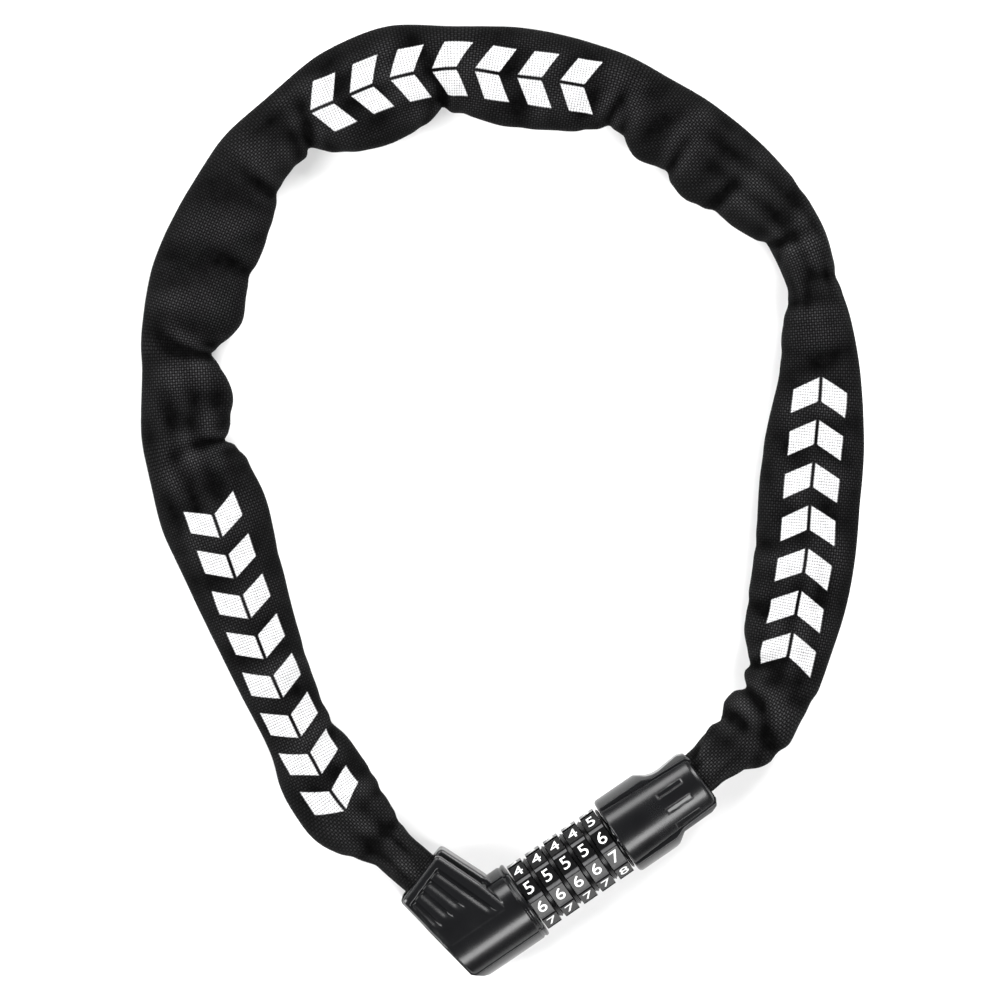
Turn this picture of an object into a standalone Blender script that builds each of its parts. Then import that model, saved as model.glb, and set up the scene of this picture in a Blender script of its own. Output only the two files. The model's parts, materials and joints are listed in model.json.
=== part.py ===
"""Combination chain lock, closed and lying flat: five number wheels on a barrel, a chain in a fabric sleeve.

The barrel's axis runs along +X. The angled lock body is at its -X end and the plug at its +X end.
The loop of chain reaches toward +Y, and the part rests on z = 0.
Positions below are in the barrel's frame: x = 0 at the middle wheel, y = 0 on the barrel's axis.
"""
import math

import bmesh
import bpy
import numpy as np
from mathutils import Matrix, Vector

MM = 0.001

# The barrel's frame in the part's frame: the part's origin is the bottom centre of its bounding box.
BARREL_PLACE = (-72.5 * MM, -148.5 * MM, 0.0)
AXIS_Z = 15.2 * MM                # barrel axis above the surface the lock lies on
SEAM_Z = 25.0 * MM                # where the front and back shells meet
FIT_GAP = 0.3 * MM                # between pieces that touch or fit together
WALL = 2.2 * MM                   # shell thickness

# Number wheels, and the code rings inside them
WHEEL_COUNT = 5
WHEEL_PITCH = 8.4 * MM
WHEEL_WIDTH = 6.2 * MM
WHEEL_RADIUS = 14.5 * MM
WHEEL_BORE = 11.5 * MM
NUMERALS = 10
GROOVE_DEPTH = 0.8 * MM
GROOVE_HALF_DEG = 3.6             # half the groove between two numerals, as an angle
NUMERAL_LEAD_DEG = 14.0           # how far a numeral stands from straight up
CODE_RING_RADIUS = WHEEL_BORE - FIT_GAP
CODE_RING_BORE = 9.0 * MM
CODE_RING_WIDTH = 5.4 * MM
SPACER_RADIUS = 13.3 * MM
SPACER_WIDTH = 1.5 * MM
SPACER_BORE = 8.9 * MM

# Core tube, and the locking pin that slides in it
TUBE_RADIUS = 8.6 * MM
TUBE_BORE = 5.6 * MM
TUBE_START_X = -33.0 * MM
TUBE_END_X = 21.0 * MM
SLOT_WIDTH = 3.4 * MM             # slot in the tube and gates in the rings, for the pin's lugs
SLOT_START_X = -31.0 * MM
GATE_RADIUS = 10.7 * MM
PIN_RADIUS = 4.0 * MM
PIN_START_X = -27.0 * MM
PIN_END_X = 36.4 * MM
LUG_RADIUS = 10.3 * MM
LUG_WIDTH = 2.6 * MM
LUG_LENGTH = 1.4 * MM

# Seats on the tube: the detent spring's flat, the flange behind the lock body's end wall, the ring at the plug
SPRING_HALF_LENGTH = 19.5 * MM
SPRING_WIDTH = 4.4 * MM
SPRING_LOW = 7.7 * MM             # heights above the barrel's axis
SPRING_HIGH = 8.1 * MM
SPRING_BUMP = 8.65 * MM
FLANGE_RADIUS = 12.6 * MM
FLANGE_WIDTH = 2.8 * MM
END_WALL = 2.8 * MM               # lock body's wall toward the wheels
END_RING_X = (20.2 * MM, 21.3 * MM)
COLLAR_RADIUS = 6.5 * MM          # on the locking pin, behind the plug's end wall
COLLAR_X = (24.9 * MM, 27.9 * MM)

# Lock body, seen from above
BODY_END_X = -20.6 * MM           # face toward the wheels
BODY_FAR_X = -60.0 * MM
BODY_RADIUS = 16.2 * MM
BODY_FRONT_Z = 31.2 * MM
LIP_DEPTH = 0.5 * MM              # groove round the lock body's end
BODY_OUTLINE = [(x * MM, y * MM) for x, y in (
    (-20.6, -16.5), (-48.4, -16.2), (-54.2, -11.7), (-60.8, 27.1), (-36.3, 35.2), (-28.4, 16.2), (-20.6, 16.5))]
BACK_EDGE = 1.0 * MM              # bevels on the arm's edges
FRONT_EDGE = 2.0 * MM
ARM_OUTLINE = [(x * MM, y * MM) for x, y in (
    (-25.5, 0.0), (-56.2, 0.0), (-60.8, 27.1), (-36.3, 35.2), (-28.4, 16.2))]
FRONT_INSET = 0.8 * MM            # how much smaller the front shell is than the back shell
MOUTH_DIRECTION_DEG = 108.3       # the way the chain leaves the lock body
BODY_SCREWS = [(-38.0 * MM, -7.0 * MM), (-31.5 * MM, 13.5 * MM), (-53.0 * MM, 8.0 * MM)]

# Plug, seen from above
PLUG_START_X = 21.6 * MM
PLUG_MOUTH_X = 61.7 * MM
PLUG_OUTLINE = [(x * MM, y * MM) for x, y in (
    (21.6, -16.5), (40.5, -16.0), (44.2, -12.8), (58.5, -12.6), (60.6, -11.2), (61.7, -8.6),
    (61.7, 9.4), (60.6, 12.2), (58.2, 13.1), (49.0, 12.2), (44.2, 13.1), (42.2, 14.6), (39.5, 16.3), (21.6, 16.5))]
PLUG_BACK_RADIUS = 16.2 * MM
PLUG_FRONT_RADII = (16.0 * MM, 14.1 * MM)     # at the wheels and at the mouth
PLUG_END_RADIUS = 14.3 * MM                   # back shell at the mouth
PLUG_LIP = 0.6 * MM
PLUG_ROOM = [(x * MM, radius * MM) for x, radius in (
    (24.6, 0), (24.6, 13.0), (40.5, 13.0), (43, 10.6), (52, 10.6), (56, 12.2), (64.7, 12.2), (64.7, 0))]
PLUG_SCREWS = [(32.5 * MM, -8.5 * MM), (32.5 * MM, 8.5 * MM)]
GRIP_SLOTS = [(43.2 * MM, 54.3 * MM, y * MM) for y in (4.6, -2.4, -9.0)]      # start x, end x, y
GRIP_SLOT_WIDTH = 2.1 * MM
GRIP_SLOT_DEPTH = 0.8 * MM

# Screws
BOSS_RADIUS = 3.6 * MM
HEAD_RADIUS = 2.4 * MM
HEAD_Z = (2.2 * MM, 4.2 * MM)
SHANK_RADIUS = 1.35 * MM
SCREW_TOP_Z = 26.5 * MM

# Chain: the two ends are the anchor points in the lock body and in the plug
LINK_COUNT = 25
LINK_WIRE = 3.8 * MM
LINK_INNER_WIDTH = 6.2 * MM
LINK_PLAY = 0.8 * MM
CHAIN_ROUTE = [(x * MM, y * MM) for x, y in (
    (-45.5, 19.8), (-52, 43), (-56, 67), (-54.5, 115.7), (-45, 163.3), (-31, 210), (-7.4, 252), (29.5, 283),
    (76, 296), (123, 286.5), (162.7, 258.4), (191.6, 219.6), (207, 174), (201, 126), (175, 85.5),
    (144.4, 47.7), (108.3, 15.5), (84, 6), (50, 0.7))]
CHAIN_LOW_Z = 8.7 * MM            # where the sleeve lies on the surface
CHAIN_ANCHOR_Z = 15.0 * MM        # at both anchors
CHAIN_RISE = 80.0 * MM            # length over which the chain rises to an anchor
CHAIN_BARE_END = 9.0 * MM         # from each anchor to the end of the sleeve
FLEX_LINK = 11                    # the loop opens after this link

# Anchor blocks: a fork with its pin, along the chain from the pin's centre
ANCHOR_PIN_RADIUS = 1.4 * MM
ANCHOR_PIN_SET_IN = 2.1 * MM      # pin's centre from the end link's meeting point
ANCHOR_X = (-11.0 * MM, -7.8 * MM, 4.5 * MM)     # back, bottom of the fork, tips
FORK_EAR = 3.0 * MM
FORK_GAP_HALF = 2.6 * MM
FORK_HALF_WIDTH = 5.6 * MM

# Sleeve: x, y and half width along its middle line, in order from the lock body's mouth to the plug's
SLEEVE_ROUTE = [(x * MM, y * MM, half * MM) for x, y, half in (
    (-47.8, 28.5, 8.3), (-49.9, 36, 8.4), (-52.2, 45, 8.5), (-55.6, 56, 13), (-58.5, 68, 16.4), (-59, 80, 16.9),
    (-58, 90, 15.8), (-57, 101, 13.2), (-53, 124, 14.6), (-47.7, 147, 16.3), (-42, 169, 18.9), (-36, 191, 21),
    (-31.5, 213, 17.2), (-26, 225, 17.2), (-15, 244, 14.8), (-8, 253.5, 15.5), (10, 267.5, 19.2), (29, 280, 18.2),
    (49, 291, 15.1), (71, 297, 13.8), (94, 294, 20), (116, 289, 21.6), (137, 279, 16.8), (154, 264, 19.3),
    (171, 248.5, 18.2), (186, 232, 13.8), (195, 210, 16.5), (201.5, 188, 16.8), (207.5, 166, 14), (209, 154, 11.2),
    (208, 143, 10.6), (204, 131, 10.2), (198.5, 121, 12.4), (187, 102.5, 15.9), (172.5, 84.5, 18.9),
    (157.5, 66.5, 19.7), (143, 48.5, 19.6), (127, 32, 18.4), (111, 16.5, 14.9), (100, 9.5, 13.2), (89, 6, 14.2),
    (78, 4.6, 11.3), (68, 3.0, 8.4), (60, 1.75, 8.15))]
SLEEVE_WALL = 0.8 * MM
SLEEVE_HALF_HEIGHT = 8.7 * MM
SLEEVE_SPLIT_GAP = 3.2 * MM
SLEEVE_SIDES = 14
SLEEVE_SECTIONS = (21, 28)        # rings of points along each half
SECTION_POWER = 0.8               # below 1, the sleeve's section is fuller than an ellipse

COLOURS = {                       # base colour, metallic, roughness
    "shell": ((0.018, 0.018, 0.019, 1), 0.0, 0.38),
    "wheel": ((0.02, 0.02, 0.02, 1), 0.0, 0.45),
    "ring": ((0.04, 0.04, 0.042, 1), 0.0, 0.5),
    "brass": ((0.62, 0.44, 0.17, 1), 1.0, 0.35),
    "steel": ((0.55, 0.55, 0.56, 1), 1.0, 0.32),
    "fabric": ((0.014, 0.014, 0.015, 1), 0.0, 0.9),
}


# ---- scene ----

def clear_scene():
    for obj in list(bpy.data.objects):
        bpy.data.objects.remove(obj, do_unlink=True)


def collection(name):
    found = bpy.data.collections.get(name) or bpy.data.collections.new(name)
    if found.name not in bpy.context.scene.collection.children:
        bpy.context.scene.collection.children.link(found)
    return found


def material(name):
    """One Principled material for each kind of surface."""
    found = bpy.data.materials.get(name)
    if found:
        return found
    colour, metallic, roughness = COLOURS[name]
    made = bpy.data.materials.new(name)
    made.use_nodes = True
    shader = made.node_tree.nodes["Principled BSDF"]
    shader.inputs["Base Color"].default_value = colour
    shader.inputs["Metallic"].default_value = metallic
    shader.inputs["Roughness"].default_value = roughness
    made.diffuse_color = colour
    return made


def add_object(name, mesh, matrix=Matrix()):
    """A helper solid in the cutters' collection, drawn as wire and left out of renders."""
    obj = bpy.data.objects.new(name, mesh)
    collection("cutters").objects.link(obj)
    obj.matrix_world = matrix
    obj.display_type = "WIRE"
    obj.hide_render = True
    return obj


def finish_part(obj, name, kind):
    """Make a helper solid one of the lock's parts."""
    obj.name = name
    obj.data.materials.clear()
    obj.data.materials.append(material(kind))
    collection("cutters").objects.unlink(obj)
    collection("chain_lock").objects.link(obj)
    obj.display_type = "TEXTURED"
    obj.hide_render = False
    return obj


# ---- solids ----

def settled(obj):
    """The object's evaluated shape as a plain welded mesh, in the object's place."""
    bpy.context.view_layer.update()
    depsgraph = bpy.context.evaluated_depsgraph_get()
    mesh = bpy.data.meshes.new_from_object(obj.evaluated_get(depsgraph))
    work = bmesh.new()
    work.from_mesh(mesh)
    bmesh.ops.remove_doubles(work, verts=work.verts, dist=0.002 * MM)
    bmesh.ops.triangulate(work, faces=[face for face in work.faces if len(face.verts) > 4])
    bmesh.ops.recalc_face_normals(work, faces=work.faces)
    work.to_mesh(mesh)
    work.free()
    made = add_object(obj.name, mesh, obj.matrix_world.copy())
    bpy.data.objects.remove(obj, do_unlink=True)
    return made


def plate(loops, thickness, matrix=Matrix()):
    """A flat outline, with any holes, as thick as given and centred on its own plane."""
    curve = bpy.data.curves.new("outline", "CURVE")
    curve.dimensions = "2D"
    curve.fill_mode = "BOTH"
    curve.extrude = thickness / 2
    for loop in loops:
        spline = curve.splines.new("POLY")
        spline.points.add(len(loop) - 1)
        spline.use_cyclic_u = True
        for point, (x, y) in zip(spline.points, loop):
            point.co = (x, y, 0, 1)
    return settled(add_object("outline", curve, matrix))


def prism(outline, low, high):
    """An outline seen from above, standing from one height to another."""
    return plate([outline], high - low, Matrix.Translation((0, 0, (low + high) / 2)))


def across_barrel(x, loops, thickness):
    """An outline across the barrel, in y and height from the axis, centred at x."""
    turn = Matrix(((0, 0, 1, x), (1, 0, 0, 0), (0, 1, 0, AXIS_Z), (0, 0, 0, 1)))
    return plate(loops, thickness, turn)


def beside_barrel(outline, thickness):
    """An outline seen from the side, in x and height from the barrel's axis."""
    turn = Matrix(((1, 0, 0, 0), (0, 0, -1, 0), (0, 1, 0, AXIS_Z), (0, 0, 0, 1)))
    return plate([outline], thickness, turn)


def turned(profile, steps=36):
    """A closed solid turned about the barrel's axis: (x, radius) points from end to end."""
    mesh = bpy.data.meshes.new("profile")
    ring = [(x, 0, radius) for x, radius in profile]
    closed = profile[0][1] > 0
    edges = [(i, i + 1) for i in range(len(ring) - 1)] + ([(len(ring) - 1, 0)] if closed else [])
    mesh.from_pydata(ring, edges, [])
    obj = add_object("turned", mesh, Matrix.Translation((0, 0, AXIS_Z)))
    screw = obj.modifiers.new("turn", "SCREW")
    screw.axis = "X"
    screw.steps = steps
    screw.render_steps = steps
    screw.use_merge_vertices = True
    screw.merge_threshold = 0.005 * MM
    return settled(obj)


def ring(x_start, x_end, outer, inner, steps=36):
    return turned([(x_start, inner), (x_start, outer), (x_end, outer), (x_end, inner)], steps)


def rod(x_start, x_end, radius, steps=32):
    """A solid round bar along the barrel's axis."""
    return turned([(x_start, 0), (x_start, radius), (x_end, radius), (x_end, 0)], steps)


def post(place, radius, low, high, sides=20):
    """An upright cylinder."""
    circle = [(place[0] + radius * math.cos(a), place[1] + radius * math.sin(a))
              for a in (2 * math.pi * i / sides for i in range(sides))]
    return prism(circle, low, high)


def box(low, high):
    bpy.ops.mesh.primitive_cube_add(size=1)
    cube = bpy.context.active_object
    for owner in list(cube.users_collection):
        owner.objects.unlink(cube)
    size = [b - a for a, b in zip(low, high)]
    middle = [(a + b) / 2 for a, b in zip(low, high)]
    made = add_object("box", cube.data, Matrix.Translation(middle) @ Matrix.Diagonal((*size, 1)))
    bpy.data.objects.remove(cube, do_unlink=True)
    return made


def combine(obj, operation, tools):
    """Cut, join or trim an object with others, one Boolean each."""
    for tool in tools:
        step = obj.modifiers.new(operation.lower(), "BOOLEAN")
        step.operation = operation
        step.solver = "EXACT"
        step.object = tool
    return obj


def cut(obj, *tools):
    return combine(obj, "DIFFERENCE", tools)


def join(obj, *tools):
    return combine(obj, "UNION", tools)


def trim(obj, *tools):
    return combine(obj, "INTERSECT", tools)


def rounded(obj, width, segments=2, angle=35):
    bevel = obj.modifiers.new("round", "BEVEL")
    bevel.width = width
    bevel.segments = segments
    bevel.limit_method = "ANGLE"
    bevel.angle_limit = math.radians(angle)
    return obj


# ---- outlines and curves ----

def inset(outline, distance):
    """The outline moved inward by a distance along every side; its points run clockwise."""
    moved = []
    for i, point in enumerate(outline):
        before, here, after = (Vector(p) for p in (outline[i - 1], point, outline[(i + 1) % len(outline)]))
        first, second = (here - before).normalized(), (after - here).normalized()
        normal_a, normal_b = Vector((first.y, -first.x)), Vector((second.y, -second.x))
        step = (normal_a + normal_b) * distance / (1 + normal_a.dot(normal_b))
        moved.append(tuple(here + step))
    return moved


def arc(radius, start_deg, end_deg, count):
    """Points on a circle about the barrel's axis; 0 degrees is straight up, positive toward +Y."""
    angles = [math.radians(start_deg + (end_deg - start_deg) * i / count) for i in range(count + 1)]
    return [(radius * math.sin(a), radius * math.cos(a)) for a in angles]


def smooth_curve(points, per_span=24):
    """A Catmull-Rom curve through the points, with as many columns as the points have."""
    points = np.array(points)
    ends = np.vstack([2 * points[0] - points[1], points, 2 * points[-1] - points[-2]])
    t = np.linspace(0, 1, per_span, endpoint=False)[:, None]
    spans = []
    for a, b, c, d in zip(ends, ends[1:], ends[2:], ends[3:]):
        spans.append(0.5 * (2 * b + (c - a) * t + (2 * a - 5 * b + 4 * c - d) * t ** 2
                            + (3 * b - 3 * c + d - a) * t ** 3))
    return np.vstack(spans + [points[-1:]])


def lengths_along(curve):
    steps = np.linalg.norm(np.diff(curve[:, :2], axis=0), axis=1)
    return np.concatenate([[0], np.cumsum(steps)])


def at_length(curve, where):
    """The curve's columns at the given lengths along it."""
    along = lengths_along(curve)
    return np.column_stack([np.interp(where, along, column) for column in curve.T])


def chain_height(where, total):
    """Height of the chain's middle: low on the surface, rising smoothly to both anchors."""
    end = np.minimum(where, total - where) / CHAIN_RISE
    rise = 0.5 + 0.5 * np.cos(np.pi * np.clip(end, 0, 1))
    return CHAIN_LOW_Z + (CHAIN_ANCHOR_Z - CHAIN_LOW_Z) * rise


def chain_joints():
    """The points where neighbouring links meet, from the lock body's anchor to the plug's."""
    curve = smooth_curve(CHAIN_ROUTE)
    total = lengths_along(curve)[-1]
    where = np.linspace(0, total, LINK_COUNT + 1)
    return np.column_stack([at_length(curve, where), chain_height(where, total)])


def wire_reach():
    """From a meeting point of two links to the middle of either link's end wire."""
    return LINK_WIRE / 2 + LINK_PLAY / 2


def flex_point(joints):
    """The hinge where the loop opens: the upright end wire of the link after the flex link."""
    along = joints[FLEX_LINK + 1] - joints[FLEX_LINK]
    return joints[FLEX_LINK] - along / np.linalg.norm(along) * wire_reach()


# ---- lock body and plug ----

def screw_holes(places):
    """What the screws take out of the shells: shank holes, and recesses for the heads."""
    shanks = [post(place, SHANK_RADIUS + FIT_GAP, -1 * MM, SCREW_TOP_Z + FIT_GAP) for place in places]
    recesses = [post(place, HEAD_RADIUS + FIT_GAP, -1 * MM, HEAD_Z[1] + FIT_GAP) for place in places]
    return shanks + recesses


def screws(name, places):
    for number, place in enumerate(places, 1):
        screw = join(post(place, SHANK_RADIUS, HEAD_Z[1] - 0.5 * MM, SCREW_TOP_Z, 12),
                     post(place, HEAD_RADIUS, *HEAD_Z, 16))
        slot = box((place[0] - HEAD_RADIUS, place[1] - 0.4 * MM, HEAD_Z[0] - 1 * MM),
                   (place[0] + HEAD_RADIUS, place[1] + 0.4 * MM, HEAD_Z[0] + 0.8 * MM))
        finish_part(settled(cut(screw, slot)), f"{name}_{number}", "steel")


def shell_pair(name, back, front, room, screw_places):
    """Back and front shells from their outer forms and the room inside, parted at the seam."""
    half_gap = FIT_GAP / 2
    far = 0.2
    below = box((-far, -far, -far), (far, far, SEAM_Z - half_gap))
    above = box((-far, -far, SEAM_Z + half_gap), (far, far, far))
    ground = box((-far, -far, 0), (far, far, far))
    bosses = [post(place, BOSS_RADIUS, 1.0 * MM, SEAM_Z + 2 * MM) for place in screw_places]
    bosses = [settled(trim(boss, back)) for boss in bosses]
    holes = screw_holes(screw_places)

    lower = join(settled(cut(back, *room)), *bosses)
    lower = settled(cut(settled(trim(lower, below, ground)), *holes))
    upper = settled(trim(settled(cut(front, *room)), above))
    upper = settled(cut(upper, *holes))
    finish_part(lower, name + "_back_shell", "shell")
    finish_part(upper, name + "_front_shell", "shell")


def body_form(shrink, radius, top, bottom, edge):
    """The lock body's outer form: the barrel's end, with the angled arm that holds the chain."""
    groove, ridge = radius - LIP_DEPTH, radius - 0.1 * MM
    rim = [(2.2, radius), (2.0, groove), (1.3, groove), (1.1, ridge), (0.4, ridge), (0, groove), (0, 0)]
    barrel = turned([(BODY_FAR_X, 0), (BODY_FAR_X, radius)] + [(BODY_END_X - x * MM, r) for x, r in rim], 56)
    outline = BODY_OUTLINE if shrink == 0 else inset(BODY_OUTLINE, shrink)
    outline = [(BODY_END_X + 1 * MM if x > BODY_END_X - 1.5 * MM else x, y) for x, y in outline]
    arm = rounded(prism(ARM_OUTLINE if shrink == 0 else inset(ARM_OUTLINE, shrink), bottom, top), edge, 3)
    trimmed = settled(trim(barrel, prism(outline, -5 * MM, 40 * MM)))
    return settled(join(trimmed, settled(arm)))


def lock_body():
    back = body_form(0, BODY_RADIUS, SEAM_Z + 3 * MM, 0, BACK_EDGE)
    front = body_form(FRONT_INSET, BODY_RADIUS - 0.2 * MM, BODY_FRONT_Z, SEAM_Z - 6 * MM, FRONT_EDGE)
    mouth = Vector((math.cos(math.radians(MOUTH_DIRECTION_DEG)), math.sin(math.radians(MOUTH_DIRECTION_DEG))))
    inner = inset(ARM_OUTLINE, WALL + FRONT_INSET)
    long_arm = [tuple(Vector(p) + mouth * 12 * MM) if p[1] > 20 * MM else p for p in inner]
    inside = BODY_RADIUS - WALL
    barrel_room = trim(rod(BODY_FAR_X - 2 * MM, BODY_END_X - END_WALL, inside, 36),
                       prism(inset(BODY_OUTLINE, WALL + FRONT_INSET), -5 * MM, 40 * MM))
    arm_room = prism(long_arm, WALL, BODY_FRONT_Z - WALL)
    tube_way = rod(BODY_END_X - 5 * MM, BODY_END_X + 1 * MM, GATE_RADIUS)
    shell_pair("body", back, front, [settled(barrel_room), arm_room, tube_way], BODY_SCREWS)
    screws("body_screw", BODY_SCREWS)


def plug():
    start, mouth, lip = PLUG_START_X, PLUG_MOUTH_X, PLUG_LIP
    wide, narrow = PLUG_FRONT_RADII
    back = turned([(start, 0), (start, PLUG_BACK_RADIUS - lip), (start + lip, PLUG_BACK_RADIUS),
                   (41 * MM, PLUG_BACK_RADIUS), (45 * MM, 14.9 * MM), (mouth - lip, PLUG_END_RADIUS),
                   (mouth, PLUG_END_RADIUS - lip), (mouth, 0)], 56)
    back = trim(back, prism(PLUG_OUTLINE, -5 * MM, 40 * MM))
    front_end = mouth - 0.4 * MM
    front = turned([(start + 0.1 * MM, 0), (start + 0.1 * MM, wide - lip), (start + lip, wide),
                    (mouth - 2 * MM, narrow), (mouth - 0.7 * MM, narrow - lip), (front_end, narrow - 2 * lip),
                    (front_end, 0)], 56)
    front = trim(front, prism(inset(PLUG_OUTLINE, FRONT_INSET / 2), -5 * MM, 40 * MM))
    grips = []
    for x_start, x_end, y in GRIP_SLOTS:
        surface = AXIS_Z + math.sqrt((narrow + 0.5 * MM) ** 2 - y ** 2)
        grips.append(box((x_start, y - GRIP_SLOT_WIDTH / 2, surface - GRIP_SLOT_DEPTH),
                         (x_end, y + GRIP_SLOT_WIDTH / 2, surface + 3 * MM)))
    pin_way = rod(start - 1 * MM, start + 4 * MM, PIN_RADIUS + FIT_GAP)
    front = settled(cut(settled(front), *grips))
    shell_pair("plug", settled(back), front, [turned(PLUG_ROOM), pin_way], PLUG_SCREWS)
    screws("plug_screw", PLUG_SCREWS)


def anchor(name, pin_name, place, direction):
    """A forked block with the upright pin that holds the chain's end link."""
    back, web, tip = ANCHOR_X
    high = FORK_EAR + FORK_GAP_HALF
    outline = [(back, -high), (tip, -high), (tip, -FORK_GAP_HALF), (web, -FORK_GAP_HALF),
               (web, FORK_GAP_HALF), (tip, FORK_GAP_HALF), (tip, high), (back, high)]
    along = Vector((direction[0], direction[1], 0)).normalized()
    side = Vector((-along.y, along.x, 0))
    turn = Matrix((along, (0, 0, 1), -side)).transposed().to_4x4()
    turn.translation = place
    block = rounded(plate([outline], 2 * FORK_HALF_WIDTH, turn), 0.4 * MM, 1)
    hole = post(place, ANCHOR_PIN_RADIUS + FIT_GAP, place[2] - 12 * MM, place[2] + 12 * MM)
    finish_part(settled(cut(settled(block), hole)), name, "steel")
    pin = post(place, ANCHOR_PIN_RADIUS, place[2] - high - 0.8 * MM, place[2] + high + 0.8 * MM, 16)
    finish_part(pin, pin_name, "steel")


def anchors(joints):
    for name, end, towards in (("body", 0, 1), ("plug", -1, -2)):
        along = joints[towards] - joints[end]
        along /= np.linalg.norm(along)
        place = Vector(joints[end] + along * ANCHOR_PIN_SET_IN)
        anchor(name + "_anchor_block", name + "_chain_pin", place, along)


# ---- core and wheels ----

def gate(x_start, x_end):
    """The way for the lugs below the barrel's axis."""
    return box((x_start, -SLOT_WIDTH / 2, AXIS_Z - GATE_RADIUS), (x_end, SLOT_WIDTH / 2, AXIS_Z))


def wheel_x(number):
    return (number - (WHEEL_COUNT + 1) / 2) * WHEEL_PITCH


def core():
    tube = ring(TUBE_START_X, TUBE_END_X, TUBE_RADIUS, TUBE_BORE)
    seat_z = AXIS_Z + SPRING_LOW - FIT_GAP
    seat_end, seat_side = SPRING_HALF_LENGTH + 0.5 * MM, SPRING_WIDTH / 2 + 0.8 * MM
    seat = box((-seat_end, -seat_side, seat_z), (seat_end, seat_side, seat_z + 5 * MM))
    finish_part(settled(cut(tube, gate(SLOT_START_X, TUBE_END_X + 1 * MM), seat)), "core_tube", "steel")

    flange_x = BODY_END_X - END_WALL - FIT_GAP
    flange = ring(flange_x - FLANGE_WIDTH, flange_x, FLANGE_RADIUS, TUBE_RADIUS + FIT_GAP)
    finish_part(settled(cut(flange, gate(-40 * MM, 0))), "core_flange", "steel")
    end_ring = ring(*END_RING_X, SPACER_RADIUS, SPACER_BORE)
    finish_part(settled(cut(end_ring, gate(0, 40 * MM))), "core_end_ring", "ring")


def detent_spring():
    """A strip in the tube's flat, with a bump under the middle of each wheel."""
    foot, top = 1.4 * MM, 0.5 * MM
    end = SPRING_HALF_LENGTH
    strip = [(-end, SPRING_LOW), (end, SPRING_LOW), (end, SPRING_HIGH)]
    for number in range(WHEEL_COUNT, 0, -1):
        middle = wheel_x(number)
        strip += [(middle + foot, SPRING_HIGH), (middle + top, SPRING_BUMP), (middle - top, SPRING_BUMP),
                  (middle - foot, SPRING_HIGH)]
    strip.append((-end, SPRING_HIGH))
    finish_part(beside_barrel(strip, SPRING_WIDTH), "detent_spring", "steel")


def locking_pin():
    """The pin that holds the plug: a collar inside the plug, and a lug for each code ring below the axis."""
    collar_start, collar_end = COLLAR_X
    shaft = turned([(PIN_START_X, 0), (PIN_START_X, PIN_RADIUS - 1 * MM), (PIN_START_X + 1 * MM, PIN_RADIUS),
                    (collar_start, PIN_RADIUS), (collar_start, COLLAR_RADIUS), (collar_end, COLLAR_RADIUS),
                    (collar_end, PIN_RADIUS), (PIN_END_X, PIN_RADIUS), (PIN_END_X, 0)], 32)
    comb = [(-24 * MM, -2 * MM), (-24 * MM, -1 * MM), (14 * MM, -1 * MM), (14 * MM, -2 * MM)]
    for number in range(WHEEL_COUNT, 0, -1):
        start = wheel_x(number) - WHEEL_PITCH / 2 - LUG_LENGTH / 2
        end = start + LUG_LENGTH
        comb += [(end, -2 * MM), (end, -LUG_RADIUS), (start, -LUG_RADIUS), (start, -2 * MM)]
    finish_part(settled(join(shaft, beside_barrel(comb, LUG_WIDTH))), "locking_pin", "steel")


def number_wheel(number):
    """A ten-sided wheel: a flat pad for each numeral, and a shallow groove between pads."""
    step = 360 / NUMERALS
    floor_half = GROOVE_HALF_DEG - 0.6
    outline = []
    for i in range(NUMERALS):
        middle = NUMERAL_LEAD_DEG + (i + 0.5) * step
        outline += arc(WHEEL_RADIUS - GROOVE_DEPTH, middle - floor_half, middle + floor_half, 1)
        outline += arc(WHEEL_RADIUS, middle + GROOVE_HALF_DEG, middle + step - GROOVE_HALF_DEG, 1)
    bore = arc(WHEEL_BORE, 0, 350, 35)
    wheel = across_barrel(wheel_x(number), [outline, bore], WHEEL_WIDTH)
    finish_part(wheel, f"number_wheel_{number}", "wheel")


def code_ring(number):
    middle = wheel_x(number)
    half = CODE_RING_WIDTH / 2
    blank = ring(middle - half, middle + half, CODE_RING_RADIUS, CODE_RING_BORE)
    finish_part(settled(cut(blank, gate(middle - half - 1 * MM, middle + half + 1 * MM))),
                f"code_ring_{number}", "brass")


def spacer_ring(number):
    """A fixed ring between two wheels, with a fine ridge round its rim."""
    middle = wheel_x(number) + WHEEL_PITCH / 2
    half, ridge = SPACER_WIDTH / 2, 0.25 * MM
    shoulder = SPACER_RADIUS - 0.3 * MM
    blank = turned([(middle - half, SPACER_BORE), (middle - half, shoulder), (middle - ridge, shoulder),
                    (middle - ridge, SPACER_RADIUS), (middle + ridge, SPACER_RADIUS), (middle + ridge, shoulder),
                    (middle + half, shoulder), (middle + half, SPACER_BORE)])
    finish_part(settled(cut(blank, gate(middle - half - 1 * MM, middle + half + 1 * MM))),
                f"spacer_ring_{number}", "ring")


# ---- chain and sleeve ----

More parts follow.
